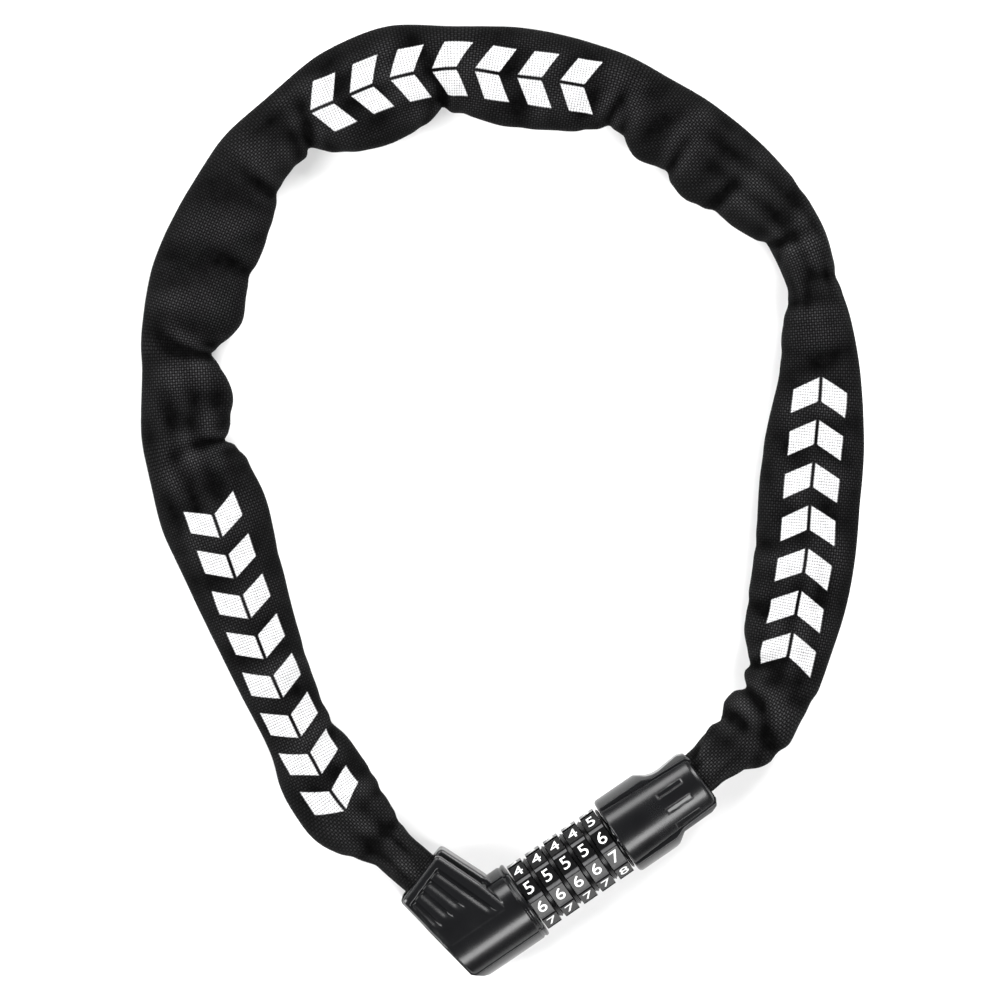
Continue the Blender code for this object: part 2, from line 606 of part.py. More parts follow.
def chain_link(number, start, end):
    """A long round-ended link between two meeting points; every second link stands upright."""
    along = Vector(end - start)
    pitch = along.length
    along.normalize()
    flat_side = Vector((-along.y, along.x, 0)).normalized()
    upright = along.cross(flat_side)
    wide, thin = (flat_side, upright) if number % 2 else (upright, -flat_side)
    frame = Matrix((along, wide, thin)).transposed().to_4x4()
    frame.translation = Vector((start + end) / 2)

    bend = (LINK_INNER_WIDTH + LINK_WIRE) / 2
    straight = (pitch + LINK_PLAY - LINK_INNER_WIDTH) / 2
    curve = bpy.data.curves.new("link", "CURVE")
    curve.dimensions = "3D"
    curve.bevel_depth = LINK_WIRE / 2
    curve.bevel_resolution = 2
    spline = curve.splines.new("POLY")
    turns = [math.radians(-90 + 180 * i / 4) for i in range(5)]
    loop = [(straight + bend * math.cos(a), bend * math.sin(a)) for a in turns]
    loop += [(-x, -y) for x, y in loop]
    spline.points.add(len(loop) - 1)
    spline.use_cyclic_u = True
    for point, (x, y) in zip(spline.points, loop):
        point.co = (x, y, 0, 1)
    finish_part(settled(add_object("link", curve, frame)), f"chain_link_{number:02d}", "steel")


def chain(joints):
    for number in range(1, LINK_COUNT + 1):
        chain_link(number, joints[number - 1], joints[number])


def sleeve_section(middle, along, half_width):
    """A ring of points across the sleeve: rounder at the sides than an ellipse."""
    side = Vector((-along[1], along[0], 0)).normalized()
    points = []
    for i in range(SLEEVE_SIDES):
        angle = 2 * math.pi * (i + 0.5) / SLEEVE_SIDES
        across, up = (math.copysign(abs(v) ** SECTION_POWER, v) for v in (math.cos(angle), math.sin(angle)))
        points.append(Vector(middle) + side * across * half_width + Vector((0, 0, up * SLEEVE_HALF_HEIGHT)))
    return points


def sleeve_half(name, curve, start, end, sections):
    """An open fabric tube along part of the sleeve's route, solidified inward."""
    along = lengths_along(curve)
    where = np.linspace(start, end, sections)
    places = at_length(curve, where)
    after, before = np.minimum(where + 1 * MM, along[-1]), np.maximum(where - 1 * MM, 0)
    ahead = at_length(curve, after) - at_length(curve, before)
    heights = chain_height(where + CHAIN_BARE_END, along[-1] + 2 * CHAIN_BARE_END)
    work = bmesh.new()
    rings = []
    for (x, y, half), direction, height in zip(places, ahead, heights):
        rings.append([work.verts.new(p) for p in sleeve_section((x, y, height), direction, half)])
    for here, after in zip(rings, rings[1:]):
        for i in range(SLEEVE_SIDES):
            j = (i + 1) % SLEEVE_SIDES
            work.faces.new((here[i], here[j], after[j], after[i]))
    bmesh.ops.recalc_face_normals(work, faces=work.faces)
    mesh = bpy.data.meshes.new(name)
    work.to_mesh(mesh)
    work.free()
    obj = add_object(name, mesh)
    wall = obj.modifiers.new("wall", "SOLIDIFY")
    wall.thickness = SLEEVE_WALL
    wall.offset = -1
    finish_part(settled(obj), name, "fabric")


def sleeve(joints):
    """Two halves of the sleeve, parted where the loop opens."""
    curve = smooth_curve(SLEEVE_ROUTE)
    total = lengths_along(curve)[-1]
    hinge = flex_point(joints)
    nearest = np.argmin(np.linalg.norm(curve[:, :2] - hinge[:2], axis=1))
    split = lengths_along(curve)[nearest]
    sleeve_half("sleeve_body_half", curve, 0, split - SLEEVE_SPLIT_GAP / 2, SLEEVE_SECTIONS[0])
    sleeve_half("sleeve_plug_half", curve, split + SLEEVE_SPLIT_GAP / 2, total, SLEEVE_SECTIONS[1])


# ---- the whole lock ----

def place_parts():
    """Hang every part on one empty, which carries the barrel's frame to the part's frame."""
    barrel = bpy.data.objects.new("barrel_frame", None)
    collection("chain_lock").objects.link(barrel)
    for obj in list(bpy.data.objects):
        if obj is not barrel:
            obj.parent = barrel
    barrel.location = BARREL_PLACE


def main():
    clear_scene()
    joints = chain_joints()
    lock_body()
    plug()
    core()
    detent_spring()
    locking_pin()
    for number in range(1, WHEEL_COUNT + 1):
        number_wheel(number)
        code_ring(number)
    for number in range(1, WHEEL_COUNT):
        spacer_ring(number)
    chain(joints)
    anchors(joints)
    sleeve(joints)
    place_parts()


main()
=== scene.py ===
"""Combination chain lock: the finished look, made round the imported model.

Lengths in the property groups are metres. Outlines and routes are lists in millimetres in the barrel's frame:
x along the barrel from the middle wheel, y across it toward the loop, and z up from the surface.
"""
import json
import math

import bmesh
import bpy
import numpy as np
from bpy.props import FloatProperty, FloatVectorProperty, IntProperty, PointerProperty
from mathutils import Matrix, Vector


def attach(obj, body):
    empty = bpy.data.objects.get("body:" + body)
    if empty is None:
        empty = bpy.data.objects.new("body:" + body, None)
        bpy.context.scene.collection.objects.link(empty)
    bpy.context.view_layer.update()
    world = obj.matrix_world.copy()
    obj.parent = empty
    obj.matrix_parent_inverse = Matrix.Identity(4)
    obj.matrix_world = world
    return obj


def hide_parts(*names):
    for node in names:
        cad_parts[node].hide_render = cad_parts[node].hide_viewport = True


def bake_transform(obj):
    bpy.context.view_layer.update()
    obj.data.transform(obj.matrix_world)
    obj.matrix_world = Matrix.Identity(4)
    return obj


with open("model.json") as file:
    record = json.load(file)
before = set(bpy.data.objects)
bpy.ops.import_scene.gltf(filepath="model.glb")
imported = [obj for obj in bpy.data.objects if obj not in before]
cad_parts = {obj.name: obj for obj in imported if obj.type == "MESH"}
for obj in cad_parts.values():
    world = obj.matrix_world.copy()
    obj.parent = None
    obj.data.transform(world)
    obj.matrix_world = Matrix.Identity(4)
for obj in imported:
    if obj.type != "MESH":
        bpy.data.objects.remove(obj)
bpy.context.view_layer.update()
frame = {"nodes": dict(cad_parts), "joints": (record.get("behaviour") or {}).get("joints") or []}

bl_info = {
    "name": "Combination Chain Lock",
    "version": (1, 0, 0),
    "blender": (4, 5, 0),
    "location": "View3D > Sidebar > Chain Lock",
    "description": "Builds a number-wheel chain lock with a woven sleeve, and a plain studio round it",
    "category": "Add Mesh",
}

MM = 0.001
JOINTS = {joint["name"]: joint for joint in frame["joints"]}
BARREL = Vector(JOINTS["wheel_3_turn"]["pos_m"])
ORIGIN = np.array((BARREL.x, BARREL.y, 0)) / MM       # on the surface under the barrel's middle
WHEEL_COUNT = 5
NUMERALS = 10
TOP_NUMERALS = (5, 5, 5, 5, 6)            # the numeral nearest the top of each wheel
NUMERAL_LEAD = math.radians(14)           # how far that numeral leans toward the loop
HALF_GROOVE = math.radians(3.7)           # half the angle of the groove between two numerals
MOUTH_ANGLE = math.radians(108.3)         # the arm's mouth faces this way, seen from above
WHEEL_EDGE = 0.24 * MM                    # the bevel on a wheel's edges
NUMERAL_SCALE, NUMERAL_STRETCH = 1.46, 1.2        # font size over a numeral's height; widening
SPACER_HALF_WIDTH, END_RING_MIDDLE, END_RING_HALF_WIDTH = 0.9, 20.75, 0.55
HALF_SEAM = 0.25 * MM                     # half the gap between a front and a back shell
BELOW, ABOVE = -5 * MM, 40 * MM           # heights clear of the whole lock
BODY_END, PLUG_START, PLUG_MOUTH = -20.6, 21.6, 61.7      # the housings' ends along the barrel
SHANK_RADIUS, HEAD_RADIUS, BOSS_RADIUS = 1.65 * MM, 2.7 * MM, 3.6 * MM
SHANK_TOP, HEAD_TOP, BOSS_HEIGHTS = 26.8 * MM, 4.5 * MM, (2.5 * MM, 27 * MM)

# Lock body, seen from above: the back shell's outline, and the arm's outline in each shell
BODY_OUTLINE = ((-20.6, -16.5), (-48.0, -16.3), (-50.6, -15.0), (-54.2, -11.7), (-60.8, 27.1), (-36.3, 35.2),
                (-28.4, 16.2), (-20.6, 16.5))
ARM_OUTLINE = ((-25.5, 0.0), (-56.2, 0.0), (-60.8, 27.1), (-36.3, 35.2), (-28.4, 16.2))
FRONT_ARM_OUTLINE = ((-25.5, 0.0), (-56.4, 0.0), (-61.2, 27.6), (-38.0, 35.3), (-30.4, 16.2))
# Louvres on the arm's panel: from the mouth end to the barrel end
LOUVRES = (((-41.5, 29.4), (-31.5, 2.2)), ((-46.3, 27.8), (-40.9, 10.2)), ((-51.0, 26.2), (-46.6, 9.6)),
           ((-55.6, 24.4), (-52.3, 9.0)))
PANEL_OUTLINE = ((-56.2, 2.0), (-58.1, 23.9), (-42.0, 29.6), (-30.6, 0.0))
BODY_SCREWS = ((-38.0, -7.0), (-31.5, 13.5), (-53.0, 8.0))
# Plug, seen from above
PLUG_OUTLINE = ((21.6, -16.5), (38.6, -16.2), (40.5, -15.6), (44.4, -12.7), (57.5, -12.5), (60.2, -11.4),
                (61.7, -8.6), (61.7, 9.4), (60.6, 12.0), (58.2, 13.1), (53.0, 12.6), (49.0, 12.2), (46.2, 12.5),
                (44.0, 13.3), (42.0, 14.8), (39.8, 16.3), (21.6, 16.5))
PLUG_SCREWS = ((32.5, -8.5), (32.5, 8.5))
# Grip slots: y of each one's middle and its floor's tilt in degrees; then what they share
GRIP_SLOTS = ((4.6, -15), (-2.4, 20), (-9.0, 38))
SLOT_MIDDLE, SLOT_HALF_LENGTH, SLOT_HALF_WIDTH, SLOT_DEPTH = 48.8, 5.5, 1.0, 0.6
# Middle line of the chain inside the sleeve
CHAIN_ROUTE = (
    (-45.5, 19.8), (-52, 43), (-56, 67), (-54.5, 115.7), (-45, 163.3), (-31, 210), (-7.4, 252), (29.5, 283),
    (76, 296), (123, 286.5), (162.7, 258.4), (191.6, 219.6), (207, 174), (201, 126), (175, 85.5), (144.4, 47.7),
    (108.3, 15.5), (84, 6), (50, 0.7))
# Sleeve: x, y and half width along its middle line, from the lock body's mouth to the plug's
SLEEVE_ROUTE = (
    (-47.8, 28.5, 8.3), (-49.9, 36, 8.4), (-52.2, 45, 8.5), (-55.6, 56, 13), (-58.5, 68, 16.4),
    (-59, 80, 16.9), (-58, 90, 15.8), (-57, 101, 13.2), (-53, 124, 14.6), (-47.7, 147, 16.3),
    (-42, 169, 18.9), (-36, 191, 21), (-31.5, 213, 17.2), (-26, 225, 17.2), (-15, 244, 14.8),
    (-8, 253.5, 15.5), (10, 267.5, 19.2), (29, 280, 18.2), (49, 291, 15.1), (71, 297, 13.8), (94, 294, 20),
    (116, 289, 21.6), (137, 279, 16.8), (154, 264, 19.3), (171, 248.5, 18.2), (186, 232, 13.8),
    (195, 210, 16.5), (201.5, 188, 16.8), (207.5, 166, 14), (209, 154, 11.2), (208, 143, 10.6),
    (204, 131, 10.2), (198.5, 121, 12.4), (187, 102.5, 15.9), (172.5, 84.5, 18.9), (157.5, 66.5, 19.7),
    (143, 48.5, 19.6), (127, 32, 18.4), (111, 16.5, 14.9), (100, 9.5, 13.2), (89, 6, 14.2), (78, 4.6, 11.3),
    (68, 3.0, 8.6), (60, 1.75, 8.15))
# Lobes and pinches of the sleeve's two edges: place along it, side (+1 inside the loop), outward push, reach
LOBES = (
    (38, -1, 1.2, 8), (182, 1, 1.3, 5), (194, 1, -2.4, 4), (213, 1, 3.9, 9), (230, 1, -3.0, 4.5),
    (248, 1, 3.3, 8), (267, 1, -1.4, 7), (308, 1, -1.9, 8), (312, -1, 1.5, 12), (332, 1, -3.2, 4),
    (360, 1, 1.7, 14), (364, -1, -1.2, 14), (390, 1, -3.6, 4), (460, -1, 1.2, 10), (462, 1, -1.6, 7),
    (480, 1, 2.9, 6), (492, 1, -1.8, 3.5), (505, 1, 2.2, 6), (520, 1, -1.7, 4), (546, 1, -2.1, 4.5),
    (548, -1, 1.0, 6), (567, -1, -1.0, 8), (588, 1, 0.8, 8), (706, 1, 1.3, 5), (718, 1, -1.4, 3.5),
    (722, -1, 1.0, 12), (732, 1, -2.2, 3.5), (738, -1, 1.4, 6), (751, 1, -3.0, 5), (751, -1, 1.9, 5))
# Creases: place along the sleeve, side it starts on (+1 inside the loop), slant in degrees, reach, width, depth
CREASES = (
    (22, 1, 20, 30, 1.6, 1.6), (29, -1, -18, 26, 1.8, 1.3), (37, 1, -8, 28, 2.0, 1.2),
    (48, 1, 30, 22, 2.2, 0.9), (72, 1, -14, 34, 2.2, 1.3), (82, 1, 24, 26, 2.4, 0.9),
    (104, 1, 34, 24, 2.8, 0.7), (140, 1, -32, 24, 3.2, 0.7), (186, 1, 26, 26, 2.2, 1.3),
    (194, 1, -10, 38, 1.7, 2.6), (202, 1, -38, 26, 2.2, 1.2), (222, 1, 30, 24, 2.2, 1.2),
    (230, 1, 6, 40, 1.6, 3.0), (238, 1, -32, 28, 2.2, 1.3), (266, 1, 20, 30, 2.4, 1.3),
    (284, 1, -28, 24, 2.8, 0.9), (306, 1, -8, 34, 2.0, 1.7), (320, 1, 28, 26, 2.2, 1.2),
    (332, 1, 4, 38, 1.7, 2.6), (341, 1, -34, 26, 2.2, 1.1), (382, 1, 32, 26, 2.2, 1.2),
    (390, 1, -6, 40, 1.6, 3.0), (398, 1, -36, 28, 2.2, 1.2), (424, 1, 16, 26, 3.0, 0.7),
    (452, 1, 26, 28, 2.0, 1.3), (463, 1, -4, 36, 1.8, 2.0), (471, 1, -34, 30, 2.0, 1.5),
    (492, 1, 8, 34, 1.6, 2.2), (512, 1, 30, 24, 2.0, 1.0), (520, 1, -12, 32, 1.7, 1.8),
    (538, -1, 18, 22, 2.2, 0.9), (546, 1, 2, 34, 1.7, 2.4), (556, 1, -28, 26, 1.8, 1.4),
    (566, -1, -12, 24, 1.8, 1.3), (574, 1, 12, 26, 2.0, 1.2), (596, 1, -22, 24, 2.6, 0.8),
    (640, 1, 28, 24, 3.2, 0.6), (672, 1, -18, 26, 2.6, 0.9), (694, 1, 26, 26, 2.2, 1.1),
    (718, 1, -6, 32, 1.9, 2.6), (726, -1, 24, 24, 1.8, 1.2), (732, 1, 20, 34, 2.0, 3.0),
    (742, -1, -14, 26, 1.8, 2.0), (751, 1, -14, 32, 1.9, 3.2), (760, 1, 38, 24, 1.8, 2.4),
    (757, -1, -40, 24, 1.8, 2.0))
PRINT_ZONES = ((40, 8), (338, 7), (604, 7))            # start along the sleeve, and number of chevrons
SECTION_POWER = 0.86                      # below 1, the sleeve's section is squarer than an ellipse
CHAIN_HALF_SIZE = (8.7, 8.2)              # half width and half height of the room that the chain needs
UNDERSIDE = 0.45                          # the cloth's least height over the surface

# Studio: each softbox's name, place, aim, size and power; then the camera's height, the width that it takes
# in, its place from the barrel's middle in millimetres, and its turn
SOFTBOXES = (
    ("key_softbox", (0.1, -1.25, 1.3), (0.0, -0.1, 0.0), (1.4, 0.55), 40),
    ("left_softbox", (-1.35, 0.45, 0.95), (0, 0, 0), (0.8, 0.8), 36),
    ("right_softbox", (1.25, 0.6, 0.95), (0, 0, 0), (0.8, 0.8), 38),
    ("far_softbox", (-0.1, 1.45, 1.0), (0, 0, 0), (1.2, 0.6), 26))
CAMERA_HEIGHT, CAMERA_FIELD, CAMERA_PLACE, CAMERA_TURN = 2.5, 0.385, (57.8, 132.2), math.radians(-34.4)


# ---- properties ----

def length(name, description, default, low=0.0, high=1.0):
    return FloatProperty(name=name, description=description, default=default, min=low, max=high, unit="LENGTH",
                         precision=5)


def colour(name, description, default):
    return FloatVectorProperty(name=name, description=description, default=default, size=3, min=0, max=1,
                               subtype="COLOR")


def amount(name, description, default):
    return FloatProperty(name=name, description=description, default=default, min=0, max=1, subtype="FACTOR")


class ChainLockHousings(bpy.types.PropertyGroup):
    """Sizes of the lock body and the plug."""
    radius: length("Barrel radius", "Radius of the lock body and of the plug's wings", 16.2 * MM)
    seam: length("Seam height", "Height where front and back shells meet", 25.0 * MM)
    front: length("Front height", "Height of the arm's front face", 31.2 * MM)
    wall: length("Wall", "Thickness of the shells", 2.2 * MM)
    inset: length("Front inset", "How much smaller the front shell is than the back shell", 0.9 * MM)
    detail: length("Detail", "Cell size of the shells' mesh", 0.32 * MM)


class ChainLockWheels(bpy.types.PropertyGroup):
    """Sizes of the number wheels."""
    radius: length("Radius", "Outer radius of a wheel", 14.5 * MM)
    bore: length("Bore", "Radius of the hole in a wheel", 11.5 * MM)
    width: length("Width", "Width of a wheel", 6.2 * MM)
    pitch: length("Pitch", "Distance from wheel to wheel", 8.4 * MM)
    groove: length("Groove depth", "Depth of the grooves between numerals", 0.75 * MM)
    numeral: length("Numeral height", "Height of a printed numeral", 4.7 * MM)
    spacer: length("Spacer radius", "Radius of the rings between wheels", 13.3 * MM)


class ChainLockSleeve(bpy.types.PropertyGroup):
    """Sizes and print of the fabric sleeve."""
    rings: IntProperty(name="Rings", description="Rings of points along the sleeve", default=640,
                       min=50, max=2000)
    sides: IntProperty(name="Sides", description="Points round the sleeve", default=96, min=16, max=256)
    half_height: length("Half height", "Half the sleeve's height where it lies", 8.6 * MM)
    cloth: length("Cloth", "Thickness of the cloth", 0.7 * MM)
    flat_width: length("Flat width", "Width of the strip that the tube is sewn from", 96 * MM)
    thread: length("Thread pitch", "Distance between neighbouring threads", 0.95 * MM)
    band: length("Print width", "Width of the printed band", 21 * MM)
    chevron: length("Chevron pitch", "Distance between printed chevrons", 16.5 * MM)


class ChainLockFinish(bpy.types.PropertyGroup):
    """Colours and gloss of the surfaces."""
    shell: colour("Shell", "Colour of the moulded shells", (0.0042, 0.0043, 0.0048))
    shell_gloss: amount("Shell roughness", "Roughness of the moulded shells", 0.25)
    wheel: colour("Wheel", "Colour of the number wheels", (0.0035, 0.0035, 0.0037))
    groove: colour("Groove", "Colour of the rough grooves between numerals", (0.085, 0.085, 0.087))
    numeral: colour("Numeral", "Colour of the printed numerals", (0.78, 0.78, 0.78))
    paint: colour("Print", "Colour of the sleeve's print", (0.5, 0.5, 0.505))
    thread: colour("Thread", "Colour of the sleeve's threads", (0.0035, 0.0035, 0.0036))
    steel: colour("Steel", "Colour of the steel pieces", (0.55, 0.55, 0.56))
    blackened: colour("Blackened steel", "Colour of the core inside the wheels", (0.022, 0.022, 0.024))
    brass: colour("Brass", "Colour of the code rings", (0.66, 0.47, 0.19))
    floor: colour("Floor", "Colour of the studio floor", (0.86, 0.86, 0.86))


class ChainLockSettings(bpy.types.PropertyGroup):
    """Everything that can be changed about the lock."""
    housings: PointerProperty(type=ChainLockHousings)
    wheels: PointerProperty(type=ChainLockWheels)
    sleeve: PointerProperty(type=ChainLockSleeve)
    finish: PointerProperty(type=ChainLockFinish)


# ---- shader maths ----

class Value:
    """A shader socket that takes part in Python arithmetic by adding Math nodes."""

    def __init__(self, graph, socket):
        self.graph = graph
        self.socket = socket

    def math(self, operation, *others):
        node = self.graph.node("ShaderNodeMath", {"operation": operation}, dict(enumerate((self, *others))))
        return self.graph.out(node)

    def __add__(self, other):
        return self.math("ADD", other)

    def __mul__(self, other):
        return self.math("MULTIPLY", other)

    def __sub__(self, other):
        return self.math("SUBTRACT", other)

    def __rsub__(self, other):
        return self.graph.number("SUBTRACT", other, self)

    def __truediv__(self, other):
        return self.math("DIVIDE", other)

    def __gt__(self, other):
        return self.math("GREATER_THAN", other)

    def __lt__(self, other):
        return self.math("LESS_THAN", other)

    __radd__ = __add__
    __rmul__ = __mul__

    def clamp(self):
        return self.math("MINIMUM", 1.0).math("MAXIMUM", 0.0)

    def ramp(self, low, high):
        """0 at low, 1 at high, smooth between."""
        node = self.graph.node("ShaderNodeMapRange", {"interpolation_type": "SMOOTHSTEP"},
                               {"Value": self, "From Min": low, "From Max": high})
        return self.graph.out(node)


class Graph:
    """The nodes of one material."""

    def __init__(self, name):
        self.material = bpy.data.materials.new(name)
        self.material.use_nodes = True
        self.tree = self.material.node_tree
        self.shader = self.tree.nodes["Principled BSDF"]

    def node(self, kind, settings, sockets):
        """A node of a kind, with its settings made first and then its sockets given values or links."""
        made = self.tree.nodes.new(kind)
        for name, value in settings.items():
            setattr(made, name, value)
        for name, value in sockets.items():
            self.feed(made.inputs[name], value)
        return made

    def feed(self, socket, value):
        if isinstance(value, Value):
            self.tree.links.new(value.socket, socket)
        else:
            socket.default_value = value

    def out(self, node, name=0):
        return Value(self, node.outputs[name])

    def number(self, operation, *values):
        return self.out(self.node("ShaderNodeMath", {"operation": operation}, dict(enumerate(values))))

    def place(self, kind="Object"):
        """The surface's own coordinates, as three values."""
        found = self.node("ShaderNodeTexCoord", {}, {})
        split = self.node("ShaderNodeSeparateXYZ", {}, {0: self.out(found, kind)})
        return [self.out(split, axis) for axis in range(3)]

    def noise(self, scale, detail=2.0, kind="Object"):
        found = self.node("ShaderNodeTexCoord", {}, {})
        made = self.node("ShaderNodeTexNoise", {},
                         {"Vector": self.out(found, kind), "Scale": scale, "Detail": detail})
        return self.out(made, "Fac")

    def mix(self, factor, first, second):
        """A colour between two colours."""
        made = self.node("ShaderNodeMix", {"data_type": "RGBA"}, {"Factor": factor, 6: first, 7: second})
        return self.out(made, 2)

    def bump(self, height, distance, strength=1.0):
        made = self.node("ShaderNodeBump", {}, {"Height": height, "Distance": distance, "Strength": strength})
        return self.out(made)

    def surface(self, **sockets):
        for name, value in sockets.items():
            self.feed(self.shader.inputs[name.replace("_", " ")], value)
        return self.material


def rgba(triple, gain=1.0):
    return (*(min(1, channel * gain) for channel in triple), 1.0)


def moulded_plastic(name, base, roughness, grain=0.02, shine=0.5):
    """Fine-grained satin plastic, a little duller where it has been handled."""
    graph = Graph(name)
    handled = graph.noise(90, 3)
    speckle = graph.noise(5200, 2)
    return graph.surface(
        Base_Color=graph.mix(handled, rgba(base, 0.85), rgba(base, 1.25)),
        Roughness=(handled * 0.14 + (speckle - 0.5) * 0.08 + (roughness - 0.07)).clamp(),
        Normal=graph.bump(speckle, grain * MM, 0.5),
        Specular_IOR_Level=shine)


def printed_paint(name, base):
    """Matte pad-printed ink with faint mottling."""
    graph = Graph(name)
    mottle = graph.noise(1400, 3)
    return graph.surface(
        Base_Color=graph.mix(mottle, rgba(base, 0.93), rgba(base, 1.04)),
        Roughness=mottle * 0.15 + 0.42,
        Normal=graph.bump(mottle, 0.01 * MM, 0.4))


def metal(name, base, roughness):
    """Machined metal with fine scratches along the barrel."""
    graph = Graph(name)
    x, y, z = graph.place()
    stretched = graph.node("ShaderNodeCombineXYZ", {}, {0: x * 0.06, 1: y, 2: z})
    scratches = graph.node("ShaderNodeTexNoise", {},
                           {"Vector": graph.out(stretched), "Scale": 3800.0, "Detail": 2.0})
    grain = graph.out(scratches, "Fac")
    return graph.surface(
        Base_Color=graph.mix(grain, rgba(base, 0.9), rgba(base, 1.06)),
        Roughness=(grain * 0.2 + (roughness - 0.1)).clamp(),
        Metallic=1.0,
        Normal=graph.bump(grain, 0.01 * MM, 0.35))


def woven_cloth(name, sleeve, thread, paint):
    """Coarse plain weave, with a chevron print lying on the tops of the threads. The thread colour carries a
    painted highlight on the thread tops and painted shade between the threads and in the sleeve's creases.
    """
    graph = Graph(name)
    u, v, _ = graph.place("UV")
    pitch = sleeve.thread
    across, along = u / pitch, v / (pitch * 1.15)
    turn_a = (across * math.pi).math("SINE")
    turn_b = (along * math.pi).math("SINE")
    over = (turn_a * turn_b).ramp(-0.12, 0.12)
    warp = turn_a.math("ABSOLUTE").math("POWER", 0.55) * turn_b.math("ABSOLUTE").math("POWER", 0.25)
    weft = turn_b.math("ABSOLUTE").math("POWER", 0.7) * turn_a.math("ABSOLUTE").math("POWER", 0.3)
    relief = warp * over + weft * (1 - over) * 0.8
    fibre = graph.noise(3000, 2, "UV")
    fuzz = graph.noise(260, 4, "UV")

    side = u.math("ABSOLUTE")
    band = 1 - side.ramp(sleeve.band / 2 - 0.2 * MM, sleeve.band / 2 + 0.2 * MM)
    split = side.ramp(0.6 * MM, 0.9 * MM)
    slanted = v - side * 0.55
    chevrons = 0.0
    for start, count in PRINT_ZONES:
        turn = (slanted - start * MM) / sleeve.chevron
        step = turn.math("FRACT")
        chevrons = (turn > 0) * (turn < count) * step.ramp(0.0, 0.03) * (1 - step.ramp(0.56, 0.59)) + chevrons
    worn = (relief + fuzz * 0.25).ramp(0.2, 0.55)
    ink = band * split * chevrons * worn

    # Painted shade read from the mesh: darker in creases, on the sides and underneath, lighter on ridges and on
    # top.
    painted_fold_shade = graph.out(graph.node("ShaderNodeAttribute", {"attribute_name": "painted_fold_shade"}, {}), "Fac")
    # Painted highlight on the thread tops and painted shade between the threads, times the painted shade from the
    # mesh; it mixes the thread colour from a tenth to twenty times its own.
    painted_light_and_shade = (relief * 0.9 + fibre * 0.25 - 0.1).clamp().math("POWER", 2.6) * (painted_fold_shade + fuzz * 0.3 - 0.15).clamp()
    thread_with_painted_light = graph.mix(painted_light_and_shade, rgba(thread, 0.1), rgba(thread, 20))
    base = graph.mix(ink, thread_with_painted_light, rgba(paint))
    return graph.surface(
        Base_Color=base,
        Roughness=(0.6 - relief * 0.1 + fuzz * 0.1).clamp(),
        Normal=graph.bump(relief + fibre * 0.25, 0.32 * MM, 0.9),
        Specular_IOR_Level=0.02)


def studio_floor(name, base):
    graph = Graph(name)
    grain = graph.noise(60, 2)
    return graph.surface(Base_Color=graph.mix(grain, rgba(base, 0.985), rgba(base, 1.01)),
                         Roughness=grain * 0.05 + 0.85)


MADE_FINISHES = {}


def finish_of(name):
    """The named finish, made once."""
    if name in MADE_FINISHES:
        return MADE_FINISHES[name]
    lock = bpy.context.scene.chain_lock
    tones = lock.finish

    def glossy():
        return moulded_plastic(name, tones.wheel, tones.shell_gloss, 0.01, 0.2)

    makers = {
        "satin_shell": lambda: moulded_plastic(name, tones.shell, tones.shell_gloss, 0.008, 0.33),
        "glossy_wheel": glossy,
        "glossy_ring": glossy,
        "rough_groove": lambda: moulded_plastic(name, tones.groove, 0.6, 0.05, 0.15),
        "white_ink": lambda: printed_paint(name, tones.numeral),
        "plated_steel": lambda: metal(name, tones.steel, 0.32),
        "blackened_steel": lambda: metal(name, tones.blackened, 0.42),
        "machined_brass": lambda: metal(name, tones.brass, 0.3),
        "sleeve_cloth": lambda: woven_cloth(name, lock.sleeve, tones.thread, tones.paint),
        "studio_floor": lambda: studio_floor(name, tones.floor),
    }
    MADE_FINISHES[name] = makers[name]()
    return MADE_FINISHES[name]


# ---- modelling helpers ----

def new_piece(name, mesh, finish):
    obj = bpy.data.objects.new(name, mesh)
    bpy.context.scene.collection.objects.link(obj)
    obj.data.materials.clear()
    obj.data.materials.append(finish_of(finish))
    return obj


def helper(mesh, matrix=Matrix()):
    obj = bpy.data.objects.new("helper", mesh)
    bpy.context.scene.collection.objects.link(obj)
    obj.matrix_world = matrix
    return obj


def settled(obj):
    """The evaluated shape as a plain mesh in the model's frame; the helper is removed."""
    bpy.context.view_layer.update()
    mesh = bpy.data.meshes.new_from_object(obj.evaluated_get(bpy.context.evaluated_depsgraph_get()))
    mesh.transform(obj.matrix_world)
    work = bmesh.new()
    work.from_mesh(mesh)
    bmesh.ops.remove_doubles(work, verts=work.verts, dist=0.001 * MM)
    bmesh.ops.recalc_face_normals(work, faces=work.faces)
    work.to_mesh(mesh)
    work.free()
    bpy.data.objects.remove(obj, do_unlink=True)
    return mesh


def plate(loops, thickness, matrix):
    """A flat outline with its holes, centred on its own plane. Loops are in metres."""
    curve = bpy.data.curves.new("outline", "CURVE")
    curve.dimensions = "2D"
    curve.fill_mode = "BOTH"
    curve.extrude = thickness / 2
    for loop in loops:
        spline = curve.splines.new("POLY")
        spline.points.add(len(loop) - 1)
        spline.use_cyclic_u = True
        for point, (x, y) in zip(spline.points, loop):
            point.co = (x, y, 0, 1)
    return helper(settled(helper(curve, matrix)))


def on_barrel(points):
    """Millimetres in the barrel's frame, seen from above, to metres in the model's frame."""
    return [(BARREL.x + x * MM, BARREL.y + y * MM) for x, y in points]


def prism(points, low, high):
    """An outline seen from above, standing between two heights in metres."""
    return plate([on_barrel(points)], high - low, Matrix.Translation((0, 0, (low + high) / 2)))


def column(points):
    """An outline seen from above, standing through the whole lock."""
    return prism(points, BELOW, ABOVE)


def post(place, radius, low, high):
    circle = [(place[0] + radius / MM * math.cos(a), place[1] + radius / MM * math.sin(a))
              for a in (2 * math.pi * i / 48 for i in range(48))]
    return prism(circle, low, high)


